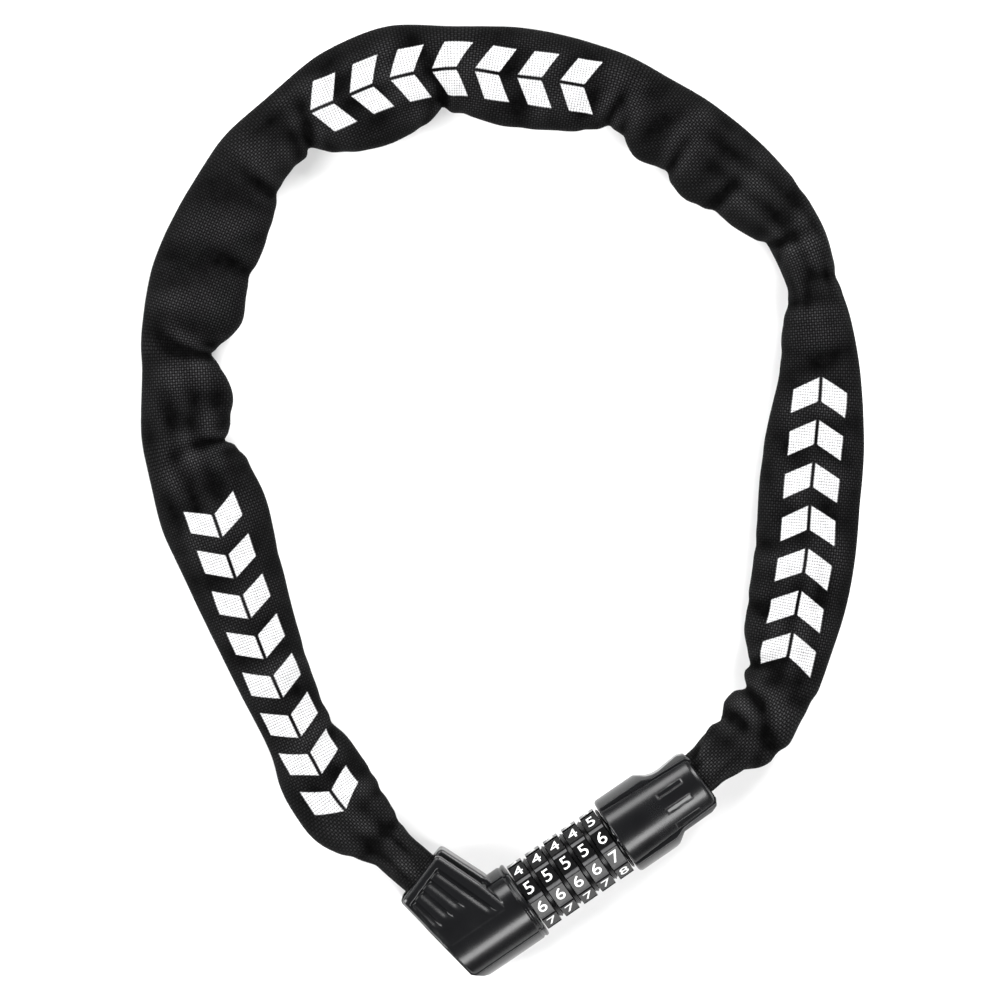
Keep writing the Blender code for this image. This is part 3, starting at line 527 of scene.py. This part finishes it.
def turned(profile, steps=144):
    """A closed solid turned about the barrel's axis: (x, radius) points in millimetres from end to end."""
    mesh = bpy.data.meshes.new("profile")
    closed = profile[0][1] > 0
    edges = [(i, i + 1) for i in range(len(profile) - 1)] + ([(len(profile) - 1, 0)] if closed else [])
    mesh.from_pydata([(x * MM, 0, r * MM) for x, r in profile], edges, [])
    obj = helper(mesh, Matrix.Translation(BARREL))
    screw = obj.modifiers.new("turn", "SCREW")
    screw.axis = "X"
    screw.steps = screw.render_steps = steps
    screw.use_merge_vertices = True
    screw.merge_threshold = 0.002 * MM
    return helper(settled(obj))


def combine(obj, operation, tools):
    """The object joined with, cut by or trimmed to each of the tools in turn."""
    for tool in tools:
        step = obj.modifiers.new(operation, "BOOLEAN")
        step.operation = operation
        step.solver = "EXACT"
        step.object = tool
    made = helper(settled(obj))
    for tool in tools:
        bpy.data.objects.remove(tool, do_unlink=True)
    return made


def bevelled(obj, width, segments, degrees):
    """The shape with a bevel on its edges sharper than an angle."""
    bevel = obj.modifiers.new("edge", "BEVEL")
    bevel.width = width
    bevel.segments = segments
    bevel.limit_method = "ANGLE"
    bevel.angle_limit = math.radians(degrees)
    return settled(obj)


def moulded(obj, cell, rounds):
    """The shape remeshed to even cells, with its edges softened as a mould leaves them."""
    remesh = obj.modifiers.new("cells", "REMESH")
    remesh.mode = "VOXEL"
    remesh.voxel_size = cell
    remesh.use_smooth_shade = True
    soften = obj.modifiers.new("soften", "SMOOTH")
    soften.factor = 0.5
    soften.iterations = rounds
    return settled(obj)


def smooth_shaded(mesh, degrees=None):
    """Smooth shading all over, or everywhere but edges sharper than an angle."""
    mesh.polygons.foreach_set("use_smooth", [True] * len(mesh.polygons))
    if degrees is not None:
        mesh.set_sharp_from_angle(angle=math.radians(degrees))
    return mesh


def inset(outline, distance):
    """The outline moved inward along every side; its points run clockwise. Millimetres."""
    moved = []
    for i, point in enumerate(outline):
        before, here, after = (Vector(p) for p in (outline[i - 1], point, outline[(i + 1) % len(outline)]))
        first, second = (here - before).normalized(), (after - here).normalized()
        normal_a, normal_b = Vector((first.y, -first.x)), Vector((second.y, -second.x))
        moved.append(tuple(here + (normal_a + normal_b) * distance / (1 + normal_a.dot(normal_b))))
    return moved


def ride(piece, body, *replaced, slot=None):
    """Hand a finished piece to a body, in place of the CAD nodes that it stands for."""
    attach(piece, body)
    if replaced:
        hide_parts(*replaced)
    return piece


# ---- lock body and plug ----

def screw_recesses(places):
    return ([post(place, SHANK_RADIUS, -1 * MM, SHANK_TOP) for place in places]
            + [post(place, HEAD_RADIUS, -1 * MM, HEAD_TOP) for place in places])


def screw_bosses(places):
    return [post(place, BOSS_RADIUS, *BOSS_HEIGHTS) for place in places]


def past_end(outline):
    """The lock body's outline with its straight end carried past the barrel's own end."""
    return [(BODY_END + 1.6 if x > -22.5 else x, y) for x, y in outline]


def body_barrel(radius):
    """The round end of the lock body, with its lip and groove toward the wheels."""
    end, lip = BODY_END, 0.55
    return turned([(-60, 0), (-60, radius), (end - 2.4, radius), (end - 2.2, radius - lip),
                   (end - 1.4, radius - lip), (end - 1.2, radius), (end - 0.5, radius), (end, radius - 0.45),
                   (end, 0)])


def body_outer(h):
    """The back shell's outer form: the barrel's end and the arm, whose edges are eased."""
    barrel = combine(body_barrel(h.radius / MM), "INTERSECT", [column(past_end(BODY_OUTLINE))])
    arm = bevelled(prism(ARM_OUTLINE, 0, h.seam - HALF_SEAM), 1.5 * MM, 2, 50)
    return combine(barrel, "UNION", [helper(arm)])


def body_room(h):
    """The room inside the lock body, open at the mouth and toward the wheels."""
    gap = (h.wall + h.inset) / MM
    radius = (h.radius - h.wall) / MM
    mouth = Vector((math.cos(MOUTH_ANGLE), math.sin(MOUTH_ANGLE)))
    arm = [tuple(Vector(p) + mouth * 12) if p[1] > 20 else p for p in inset(FRONT_ARM_OUTLINE, gap)]
    barrel = combine(turned([(-62, 0), (-62, radius), (-23.4, radius), (-23.4, 0)]), "INTERSECT",
                     [column(inset(BODY_OUTLINE, gap))])
    return [barrel, prism(arm, h.wall, h.front - h.wall),
            turned([(-25, 0), (-25, 10.7), (-19, 10.7), (-19, 0)])]


def slab(low, high):
    """Everything in the lock's neighbourhood between two heights."""
    return prism([(-90, -40), (-90, 60), (90, 60), (90, -40)], low, high)


def step_between(low, high, values):
    """0 below low, 1 above high, smooth between, for arrays."""
    t = np.clip((values - low) / (high - low), 0, 1)
    return t * t * (3 - 2 * t)


def mesh_points(mesh):
    """The mesh's points and their normals, in millimetres in the barrel's frame."""
    points = np.empty(len(mesh.vertices) * 3)
    normals = np.empty(len(mesh.vertices) * 3)
    mesh.vertices.foreach_get("co", points)
    mesh.vertices.foreach_get("normal", normals)
    points = points.reshape(-1, 3) / MM - ORIGIN
    return points, normals.reshape(-1, 3)


def set_mesh_points(mesh, points):
    moved = (points + ORIGIN) * MM
    mesh.vertices.foreach_set("co", moved.ravel())
    mesh.update()


def depth_inside(outline, points):
    """How far inside a convex clockwise outline each point lies, seen from above."""
    depth = np.full(len(points), 1e9)
    for i, end in enumerate(outline):
        start, end = np.array(outline[i - 1]), np.array(end)
        along = (end - start) / np.linalg.norm(end - start)
        depth = np.minimum(depth, (points[:, :2] - start) @ np.array((along[1], -along[0])))
    return depth


def press_louvres(mesh, front):
    """Sink the arm's front into a framed panel with four louvres that run out toward the barrel."""
    points, normals = mesh_points(mesh)
    _, y, z = points.T
    edge = depth_inside(PANEL_OUTLINE, points)
    sunk = 0.6 * step_between(0, 0.6, edge) * step_between(3, 18, y)
    for start, end in LOUVRES:
        start, end = np.array(start), np.array(end)
        reach = np.linalg.norm(end - start)
        along = (end - start) / reach
        t = (points[:, :2] - start) @ along
        d = (points[:, :2] - start) @ np.array((along[1], -along[0]))
        wedge = step_between(-0.5, 0.3, d) * (1 - step_between(0.3, 3.6, d))
        sunk += 0.95 * wedge * step_between(-0.5, 1.2, t) * (1 - step_between(reach - 5, reach, t))
    facing = (normals[:, 2] > 0.35) & (z > front / MM - 1.5) & (y > -3)
    points[:, 2] -= np.where(facing, sunk, 0)
    set_mesh_points(mesh, points)


def press_grips(mesh):
    """Sink the three grip slots into the plug's front, each with a flat floor."""
    points, normals = mesh_points(mesh)
    x, y, z = points[:, 0], points[:, 1], points[:, 2] - BARREL.z / MM
    facing = (z > 5) & (normals[:, 2] > 0.2)
    for middle, tilt in GRIP_SLOTS:
        outside = np.maximum(np.abs(x - SLOT_MIDDLE) - SLOT_HALF_LENGTH, np.abs(y - middle) - SLOT_HALF_WIDTH)
        inside = facing * (1 - step_between(-0.12, 0.18, outside))
        reach = np.hypot(x - SLOT_MIDDLE, 3 * (y - middle))
        level = z[facing & (reach < 1.2)].mean()
        floor = level - SLOT_DEPTH + math.tan(math.radians(tilt)) * (y - middle)
        points[:, 2] += inside * (floor - z)
    set_mesh_points(mesh, points)


def build_lock_body(h):
    back = body_outer(h)
    back = combine(back, "INTERSECT", [slab(0, h.seam - HALF_SEAM)])
    back = combine(back, "DIFFERENCE", body_room(h))
    back = combine(back, "UNION", screw_bosses(BODY_SCREWS))
    back = combine(back, "INTERSECT", [slab(0, h.seam - HALF_SEAM)])
    back = combine(back, "DIFFERENCE", screw_recesses(BODY_SCREWS))
    mesh = moulded(back, h.detail, 4)
    ride(new_piece("body_back_skin", mesh, "satin_shell"), "lock_body", "body_back_shell", slot="shell_plastic")

    shrink = h.inset / MM
    arm = bevelled(prism(inset(FRONT_ARM_OUTLINE, shrink), h.seam - 6 * MM, h.front), 1.8 * MM, 2, 50)
    front = combine(body_barrel(h.radius / MM - 0.2), "INTERSECT",
                    [column(past_end(inset(BODY_OUTLINE, shrink)))])
    front = combine(front, "UNION", [helper(arm)])
    front = combine(front, "DIFFERENCE", body_room(h))
    front = combine(front, "INTERSECT", [slab(h.seam + HALF_SEAM, ABOVE)])
    mesh = moulded(front, h.detail * 0.8, 3)
    press_louvres(mesh, h.front)
    ride(new_piece("body_front_skin", mesh, "satin_shell"), "lock_body", "body_front_shell", slot="shell_plastic")


def build_plug(h):
    start, mouth, lip = PLUG_START, PLUG_MOUTH, 0.6
    radius = h.radius / MM
    room = [(start + 3, 0), (start + 3, 13), (40.5, 13), (43, 10.6), (52, 10.6), (56, 12.2), (65, 12.2), (65, 0)]
    pin_way = [(start - 1, 0), (start - 1, 4.3), (start + 4, 4.3), (start + 4, 0)]

    back = turned([(start, 0), (start, radius - 1.2), (start + 0.4, radius - 0.4), (start + 1.2, radius),
                   (41, radius), (45, 14.9), (mouth - 1.2, 14.3), (mouth, 13.2), (mouth, 0)])
    back = combine(back, "INTERSECT", [column(PLUG_OUTLINE)])
    back = combine(back, "DIFFERENCE", [turned(room), turned(pin_way)])
    back = combine(back, "UNION", screw_bosses(PLUG_SCREWS))
    back = combine(back, "INTERSECT", [slab(0, h.seam - HALF_SEAM)])
    back = combine(back, "DIFFERENCE", screw_recesses(PLUG_SCREWS))
    mesh = moulded(back, h.detail, 4)
    ride(new_piece("plug_back_skin", mesh, "satin_shell"), "plug", "plug_back_shell", slot="shell_plastic")

    wide, narrow = 15.6, 14.1
    front = turned([(start + 0.1, 0), (start + 0.1, wide - lip), (start + lip, wide), (mouth - 2.4, narrow),
                    (mouth - 1.2, narrow - 0.4), (mouth - 0.5, narrow - 1.4), (mouth - 0.5, 0)])
    front = combine(front, "INTERSECT", [column(inset(PLUG_OUTLINE, 0.4))])
    front = combine(front, "DIFFERENCE", [turned(room), turned(pin_way)])
    front = combine(front, "INTERSECT", [slab(h.seam + HALF_SEAM, ABOVE)])
    mesh = moulded(front, h.detail * 0.8, 3)
    press_grips(mesh)
    ride(new_piece("plug_front_skin", mesh, "satin_shell"), "plug", "plug_front_shell", slot="shell_plastic")


# ---- wheels ----

def wheel_place(number, w):
    return (number - (WHEEL_COUNT + 1) / 2) * w.pitch


def across_barrel(x):
    """Carries an outline in (y, height) to a plane across the barrel at x."""
    return Matrix(((0, 0, 1, BARREL.x + x), (1, 0, 0, BARREL.y), (0, 1, 0, BARREL.z), (0, 0, 0, 1)))


def build_wheel(number, w):
    """A wheel with a flat pad for each numeral, grooves between pads, and eased edges."""
    step = 2 * math.pi / NUMERALS
    draft = 0.012
    outline = []
    for i in range(NUMERALS):
        middle = NUMERAL_LEAD + (i + 0.5) * step
        for radius, angle in ((w.radius - w.groove, middle - HALF_GROOVE + draft),
                              (w.radius - w.groove, middle + HALF_GROOVE - draft),
                              (w.radius, middle + HALF_GROOVE), (w.radius, middle + step - HALF_GROOVE)):
            outline.append((radius * math.sin(angle), radius * math.cos(angle)))
    bore = [(w.bore * math.sin(a), w.bore * math.cos(a)) for a in (2 * math.pi * i / 96 for i in range(96))]
    wheel = plate([outline, bore], w.width, across_barrel(wheel_place(number, w)))
    mesh = smooth_shaded(bevelled(wheel, WHEEL_EDGE, 1, 20), 28)
    piece = new_piece(f"wheel_{number}_rim", mesh, "glossy_wheel")
    piece.data.materials.append(finish_of("rough_groove"))
    low, high = w.bore + 1 * MM, w.radius - w.groove * 0.75
    for face in piece.data.polygons:
        away = (face.center - BARREL).yz.length
        face.material_index = int(low < away < high and abs(face.normal.x) < 0.3)
    ride(piece, f"wheel_{number}", f"number_wheel_{number}", slot="wheel_plastic")


def build_numerals(number, w):
    """Ten printed numerals, each lying flat on its pad."""
    meshes = []
    flat = w.radius * math.cos(math.pi / NUMERALS - HALF_GROOVE)
    ink = 0.03 * MM
    for i in range(NUMERALS):
        curve = bpy.data.curves.new("numeral", "FONT")
        curve.body = str((TOP_NUMERALS[number - 1] + i) % NUMERALS)
        curve.size = w.numeral * NUMERAL_SCALE
        curve.align_x = "CENTER"
        curve.align_y = "CENTER"
        curve.extrude = ink
        curve.resolution_u = 6
        lean = NUMERAL_LEAD - i * 2 * math.pi / NUMERALS
        matrix = (Matrix.Translation(BARREL + Vector((wheel_place(number, w), 0, 0)))
                  @ Matrix.Rotation(-lean, 4, "X") @ Matrix.Translation((0, 0, flat + 0.035 * MM))
                  @ Matrix.Diagonal((NUMERAL_STRETCH, 1, 1, 1)))
        meshes.append(settled(helper(curve, matrix)))
    joined = bmesh.new()
    for mesh in meshes:
        joined.from_mesh(mesh)
    mesh = bpy.data.meshes.new("numerals")
    joined.to_mesh(mesh)
    joined.free()
    ride(new_piece(f"wheel_{number}_numerals", mesh, "white_ink"), f"wheel_{number}", slot="wheel_plastic")


def build_spacer(name, node, x, half, w):
    """A fixed ring with a fine ridge round its rim."""
    r, bore = w.spacer / MM, 9.2
    profile = [(x - half, bore), (x - half, r - 0.7), (x - half + 0.25, r - 0.4), (x - 0.35, r - 0.4),
               (x - 0.2, r), (x + 0.2, r), (x + 0.35, r - 0.4), (x + half - 0.25, r - 0.4), (x + half, r - 0.7),
               (x + half, bore)]
    mesh = smooth_shaded(settled(turned(profile)), 32)
    ride(new_piece(name, mesh, "glossy_ring"), "lock_body", node, slot="ring_plastic")


# ---- sleeve ----

def smooth_curve(points, per_span=24):
    """A Catmull-Rom curve through the points."""
    points = np.array(points, float)
    ends = np.vstack([2 * points[0] - points[1], points, 2 * points[-1] - points[-2]])
    t = np.linspace(0, 1, per_span, endpoint=False)[:, None]
    spans = [0.5 * (2 * b + (c - a) * t + (2 * a - 5 * b + 4 * c - d) * t ** 2
                    + (3 * b - 3 * c + d - a) * t ** 3)
             for a, b, c, d in zip(ends, ends[1:], ends[2:], ends[3:])]
    return np.vstack(spans + [points[-1:]])


def chain_height(where, total, half_height):
    """Height of the sleeve's middle: low on the surface, rising smoothly to both housings."""
    low, anchor, rise, bare = half_height / MM + 0.1, 15.0, 80.0, 9.0
    end = np.minimum(where, total - where) + bare
    return low + (anchor - low) * (0.5 + 0.5 * np.cos(np.pi * np.clip(end / rise, 0, 1)))


def crease_relief(u, v, quarter, crease):
    """Depth over the cloth of one crease that starts at an edge of the sleeve and dies out across it."""
    where, side, slant, reach, width, depth = crease
    slant = math.radians(slant)
    du = quarter + side * u
    dv = v - where
    along = du * math.cos(slant) + dv * math.sin(slant)
    off = -du * math.sin(slant) + dv * math.cos(slant)
    fade = np.clip(1 - along / reach, 0, 1) ** 1.2 * np.clip(1 + along / 10, 0, 1)
    off = off - 2.5 * np.sin(along * 0.11 + where)
    spread = width * (1 + 0.6 * np.clip(along / reach, 0, 1))
    valley = np.exp(-(off / spread) ** 2)
    ridges = np.exp(-((np.abs(off) - 2.1 * spread) / (1.1 * spread)) ** 2)
    return depth * fade * (0.55 * ridges - valley)


def ripples(u, v):
    """Low waves in the cloth: some run along the sleeve, some across it or aslant, and they come and go."""
    def patch(phase):
        return np.clip(np.sin(phase), 0, 1)

    lengthways = np.sin(u * 0.62 + 1.4 * np.sin(v * 0.043) + 0.5) * patch(v * 0.037 + u * 0.05 + 0.7)
    crossways = np.sin(v * 0.44 + 1.6 * np.sin(u * 0.11 + v * 0.02)) * patch(v * 0.051 - u * 0.09 + 2.6)
    slanted = np.sin(v * 0.27 - u * 0.33) * patch(v * 0.029 + 1.9)
    return 0.5 * lengthways + 0.42 * crossways + 0.35 * slanted


def relaxed(points, rounds):
    """Each point drawn toward its neighbours round and along the sleeve, as stiff cloth is."""
    for _ in range(rounds):
        points = (np.roll(points, 1, axis=1) + 2 * points + np.roll(points, -1, axis=1)) / 4
        points[1:-1] = (points[:-2] + 2 * points[1:-1] + points[2:]) / 4
    return points


def clear_of_chain(points, s):
    """Points moved out to where the cloth just lies on the chain, if a crease took them further in."""
    chain = smooth_curve(CHAIN_ROUTE, 12)
    flat = points[:, :, :2].reshape(-1, 2)
    gap = np.linalg.norm(flat[:, None] - chain[None, :, :], axis=2)
    nearest = gap.argmin(axis=1)
    run = np.concatenate([[0], np.cumsum(np.linalg.norm(np.diff(chain, axis=0), axis=1))])
    ahead = np.gradient(chain, axis=0)
    ahead /= np.linalg.norm(ahead, axis=1)[:, None]
    offset = flat - chain[nearest]
    side = np.stack([-ahead[nearest, 1], ahead[nearest, 0]], axis=1)
    across = (offset * side).sum(axis=1)
    height = points[:, :, 2].ravel() - chain_height(run[nearest] - 9.0, run[-1] - 18.0, s.half_height)
    wide, high = CHAIN_HALF_SIZE
    size = np.hypot(across / wide, height / high)
    grow = np.maximum(size, 1) / np.maximum(size, 1e-6)
    inside = (run[nearest] > 9) & (run[nearest] < run[-1] - 9)
    grow = np.where(inside, grow, 1)
    moved = flat + side * (across * (grow - 1))[:, None]
    lift = height * (grow - 1)
    return np.concatenate([moved, (points[:, :, 2].ravel() + lift)[:, None]], axis=1).reshape(points.shape)


def sleeve_points(s):
    """Points, distances round and along the cloth, and the painted shade for the cloth's colour (darker in
    creases, on the sides and underneath, lighter on ridges and on top), for every ring. Millimetres.
    """
    curve = smooth_curve(SLEEVE_ROUTE)
    run = np.concatenate([[0], np.cumsum(np.linalg.norm(np.diff(curve[:, :2], axis=0), axis=1))])
    total = run[-1]
    where = np.linspace(0, total, s.rings)
    x, y, half = (np.interp(where, run, values) for values in curve.T)
    dx, dy = np.gradient(x), np.gradient(y)
    norm = np.hypot(dx, dy)
    side_x, side_y = -dy / norm, dx / norm
    half = np.maximum(half + 0.2 * np.sin(where * 0.11 + 0.6), 8.15)
    high = s.half_height / MM + 0.35 * np.sin(where * 0.13 + 1.2) * np.clip((half - 9) / 5, 0, 1)
    middle = chain_height(where, total, s.half_height)

    theta = np.linspace(-math.pi, math.pi, s.sides, endpoint=False) + math.pi / 2
    cos, sin = np.cos(theta)[None, :], np.sin(theta)[None, :]
    across = np.sign(cos) * np.abs(cos) ** SECTION_POWER * half[:, None]
    up = np.sign(sin) * np.abs(sin) ** SECTION_POWER * high[:, None]
    around = np.concatenate([np.zeros((s.rings, 1)), np.cumsum(
        np.hypot(np.diff(across, axis=1), np.diff(up, axis=1)), axis=1)], axis=1)
    full = around[:, -1:] + np.hypot(across[:, :1] - across[:, -1:], up[:, :1] - up[:, -1:])
    u = around - full / 2
    v = np.repeat(where[:, None], s.sides, axis=1)
    quarter = full / 4

    nx, nz = cos / half[:, None], sin / high[:, None]
    scale = np.hypot(nx, nz)
    outward = np.stack([side_x[:, None] * -nx / scale, side_y[:, None] * -nx / scale, nz / scale], axis=2)
    points = np.stack([x[:, None] - side_x[:, None] * across, y[:, None] - side_y[:, None] * across,
                       middle[:, None] + up], axis=2)
    push = np.zeros_like(u)
    for place, side, swell, reach in LOBES:
        push += swell * np.exp(-((v - place) / reach) ** 2) * np.clip(side * cos, 0, 1) ** 1.5
    points = relaxed(points + outward * push[:, :, None], 3)

    push = np.zeros_like(u)
    for crease in CREASES:
        push += crease_relief(u, v, quarter, crease)
    push += 0.6 * np.sin(v * 0.207 + 0.8 * np.sin(u * 0.08)) * np.clip(sin, 0, 1)
    gathers = np.clip((15 - half) / 7, 0, 1)[:, None]
    push += gathers * np.clip(sin + 0.4, 0, 1) * (0.7 * np.abs(np.sin(4.5 * theta[None, :] + 0.05 * v))
                                                  - 0.5 * np.abs(np.sin(7 * theta[None, :] - 0.08 * v + 1.0)))
    push += ripples(u, v) * np.clip(sin + 0.1, 0, 1)
    seam = np.minimum(np.abs(u - u.min()), np.abs(u.max() - u))
    push += 0.35 * np.exp(-(seam / 1.6) ** 2)
    push = np.where(up < -0.7 * high[:, None], np.minimum(push, 0.1), push * (0.35 + 0.65 * np.clip(sin, 0, 1)))
    points = points + outward * push[:, :, None]
    # Painted shade for the cloth's colour: darker in crease valleys, on the sides and underneath; painted light:
    # lighter on ridges and on the top.
    painted_fold_shade = np.clip(0.3 + 0.34 * push, 0.04, 1) * (0.55 + 0.45 * np.clip(sin, 0, 1))
    points = clear_of_chain(points, s)
    points = relaxed(points, 1)
    points[:, :, 2] = np.maximum(points[:, :, 2], UNDERSIDE)
    return points, u, v, painted_fold_shade, total


def build_sleeve(s):
    """One woven tube from mouth to mouth, drawn over the chain."""
    points, u, v, painted_fold_shade, total = sleeve_points(s)
    work = bmesh.new()
    grid = [[work.verts.new((BARREL.x + px * MM, BARREL.y + py * MM, pz * MM)) for px, py, pz in row]
            for row in points]
    layer = work.loops.layers.uv.new("cloth")
    for i in range(s.rings - 1):
        for j in range(s.sides):
            k = (j + 1) % s.sides
            face = work.faces.new((grid[i][j], grid[i][k], grid[i + 1][k], grid[i + 1][j]))
            face.smooth = True
            last = -u[i][0] if k == 0 else u[i][k]
            last_after = -u[i + 1][0] if k == 0 else u[i + 1][k]
            places = ((u[i][j], v[i][j]), (last, v[i][j]), (last_after, v[i + 1][j]), (u[i + 1][j], v[i + 1][j]))
            for loop, place in zip(face.loops, places):
                loop[layer].uv = (place[0] * MM, place[1] * MM)
    bmesh.ops.recalc_face_normals(work, faces=work.faces)
    mesh = bpy.data.meshes.new("sleeve")
    work.to_mesh(mesh)
    work.free()
    # The painted shade is stored on the mesh, for the cloth's colour.
    mesh.attributes.new("painted_fold_shade", "FLOAT", "POINT").data.foreach_set("value", painted_fold_shade.ravel())
    tube = helper(mesh)
    cloth = tube.modifiers.new("cloth", "SOLIDIFY")
    cloth.thickness = s.cloth
    cloth.offset = -1
    mesh = settled(tube)
    piece = new_piece("woven_sleeve", smooth_shaded(mesh), "sleeve_cloth")
    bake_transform(piece)
    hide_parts("sleeve_body_half", "sleeve_plug_half")
    total * MM


# ---- stage ----

def area_light(name, place, aim, size, power):
    data = bpy.data.lights.new(name, "AREA")
    data.shape = "RECTANGLE"
    data.size, data.size_y = size
    data.energy = power
    lamp = bpy.data.objects.new(name, data)
    bpy.context.scene.collection.objects.link(lamp)
    lamp.location = place
    lamp.rotation_euler = (Vector(aim) - Vector(place)).to_track_quat("-Z", "Y").to_euler()


def build_stage():
    bpy.ops.mesh.primitive_plane_add(size=12, location=(0, 0, -0.2 * MM))
    floor = bpy.context.active_object
    floor.name = "studio_floor"
    floor.data.materials.append(finish_of("studio_floor"))

    world = bpy.data.worlds.new("studio")
    bpy.context.scene.world = world
    bpy.context.scene.view_settings.view_transform = "Standard"
    world.use_nodes = True
    sky = world.node_tree.nodes["Background"].inputs
    sky["Color"].default_value = (1, 1, 1, 1)
    sky["Strength"].default_value = 0.06

    for softbox in SOFTBOXES:
        area_light(*softbox)

    data = bpy.data.cameras.new("overhead")
    data.lens = data.sensor_width * (CAMERA_HEIGHT - 0.012) / CAMERA_FIELD
    camera = bpy.data.objects.new("overhead", data)
    bpy.context.scene.collection.objects.link(camera)
    camera.location = (BARREL.x + CAMERA_PLACE[0] * MM, BARREL.y + CAMERA_PLACE[1] * MM, CAMERA_HEIGHT)
    camera.rotation_euler = (0, 0, CAMERA_TURN)
    bpy.context.scene.camera = camera


# ---- operators ----

class CHAINLOCK_OT_stage(bpy.types.Operator):
    """Add the floor, the lights and the camera"""
    bl_idname = "chain_lock.stage"
    bl_label = "Studio"

    def execute(self, context):
        build_stage()
        return {"FINISHED"}


class CHAINLOCK_OT_metalwork(bpy.types.Operator):
    """Finish the chain, the core, the pins and the screws"""
    bl_idname = "chain_lock.metalwork"
    bl_label = "Metalwork"

    def execute(self, context):
        for name, node in frame["nodes"].items():
            finish = ("machined_brass" if name.startswith("code_ring")
                      else "blackened_steel" if name.startswith("core") else "plated_steel")
            node.data.materials.clear()
            node.data.materials.append(finish_of(finish))
        return {"FINISHED"}


class CHAINLOCK_OT_housings(bpy.types.Operator):
    """Make the shells of the lock body and the plug"""
    bl_idname = "chain_lock.housings"
    bl_label = "Housings"

    def execute(self, context):
        sizes = context.scene.chain_lock.housings
        build_lock_body(sizes)
        build_plug(sizes)
        return {"FINISHED"}


class CHAINLOCK_OT_wheels(bpy.types.Operator):
    """Make the number wheels, their numerals and the rings between them"""
    bl_idname = "chain_lock.wheels"
    bl_label = "Number wheels"

    def execute(self, context):
        sizes = context.scene.chain_lock.wheels
        for number in range(1, WHEEL_COUNT + 1):
            build_wheel(number, sizes)
            build_numerals(number, sizes)
        for number in range(1, WHEEL_COUNT):
            middle = (wheel_place(number, sizes) + sizes.pitch / 2) / MM
            build_spacer(f"spacer_{number}_rim", f"spacer_ring_{number}", middle, SPACER_HALF_WIDTH, sizes)
        build_spacer("end_ring_rim", "core_end_ring", END_RING_MIDDLE, END_RING_HALF_WIDTH, sizes)
        return {"FINISHED"}


class CHAINLOCK_OT_sleeve(bpy.types.Operator):
    """Make the woven sleeve round the chain"""
    bl_idname = "chain_lock.sleeve"
    bl_label = "Sleeve"

    def execute(self, context):
        build_sleeve(context.scene.chain_lock.sleeve)
        return {"FINISHED"}


class CHAINLOCK_PT_panel(bpy.types.Panel):
    """The chain lock's steps and settings"""
    bl_label = "Chain Lock"
    bl_idname = "CHAINLOCK_PT_panel"
    bl_space_type = "VIEW_3D"
    bl_region_type = "UI"
    bl_category = "Chain Lock"

    def draw(self, context):
        settings = context.scene.chain_lock
        for step in STEPS:
            self.layout.operator(step.bl_idname)
        for group in ("housings", "wheels", "sleeve", "finish"):
            box = self.layout.box()
            box.label(text=group.capitalize())
            chosen = getattr(settings, group)
            for name in chosen.__annotations__:
                box.prop(chosen, name)


STEPS = (CHAINLOCK_OT_stage, CHAINLOCK_OT_metalwork, CHAINLOCK_OT_housings, CHAINLOCK_OT_wheels,
         CHAINLOCK_OT_sleeve)
CLASSES = (ChainLockHousings, ChainLockWheels, ChainLockSleeve, ChainLockFinish, ChainLockSettings, *STEPS,
           CHAINLOCK_PT_panel)


def register():
    for cls in CLASSES:
        bpy.utils.register_class(cls)
    bpy.types.Scene.chain_lock = PointerProperty(type=ChainLockSettings)


def unregister():
    del bpy.types.Scene.chain_lock
    for cls in reversed(CLASSES):
        bpy.utils.unregister_class(cls)


def main():
    register()
    bpy.ops.chain_lock.stage()
    bpy.ops.chain_lock.metalwork()
    bpy.ops.chain_lock.housings()
    bpy.ops.chain_lock.wheels()
    bpy.ops.chain_lock.sleeve()


if __name__ == "__main__":
    main()
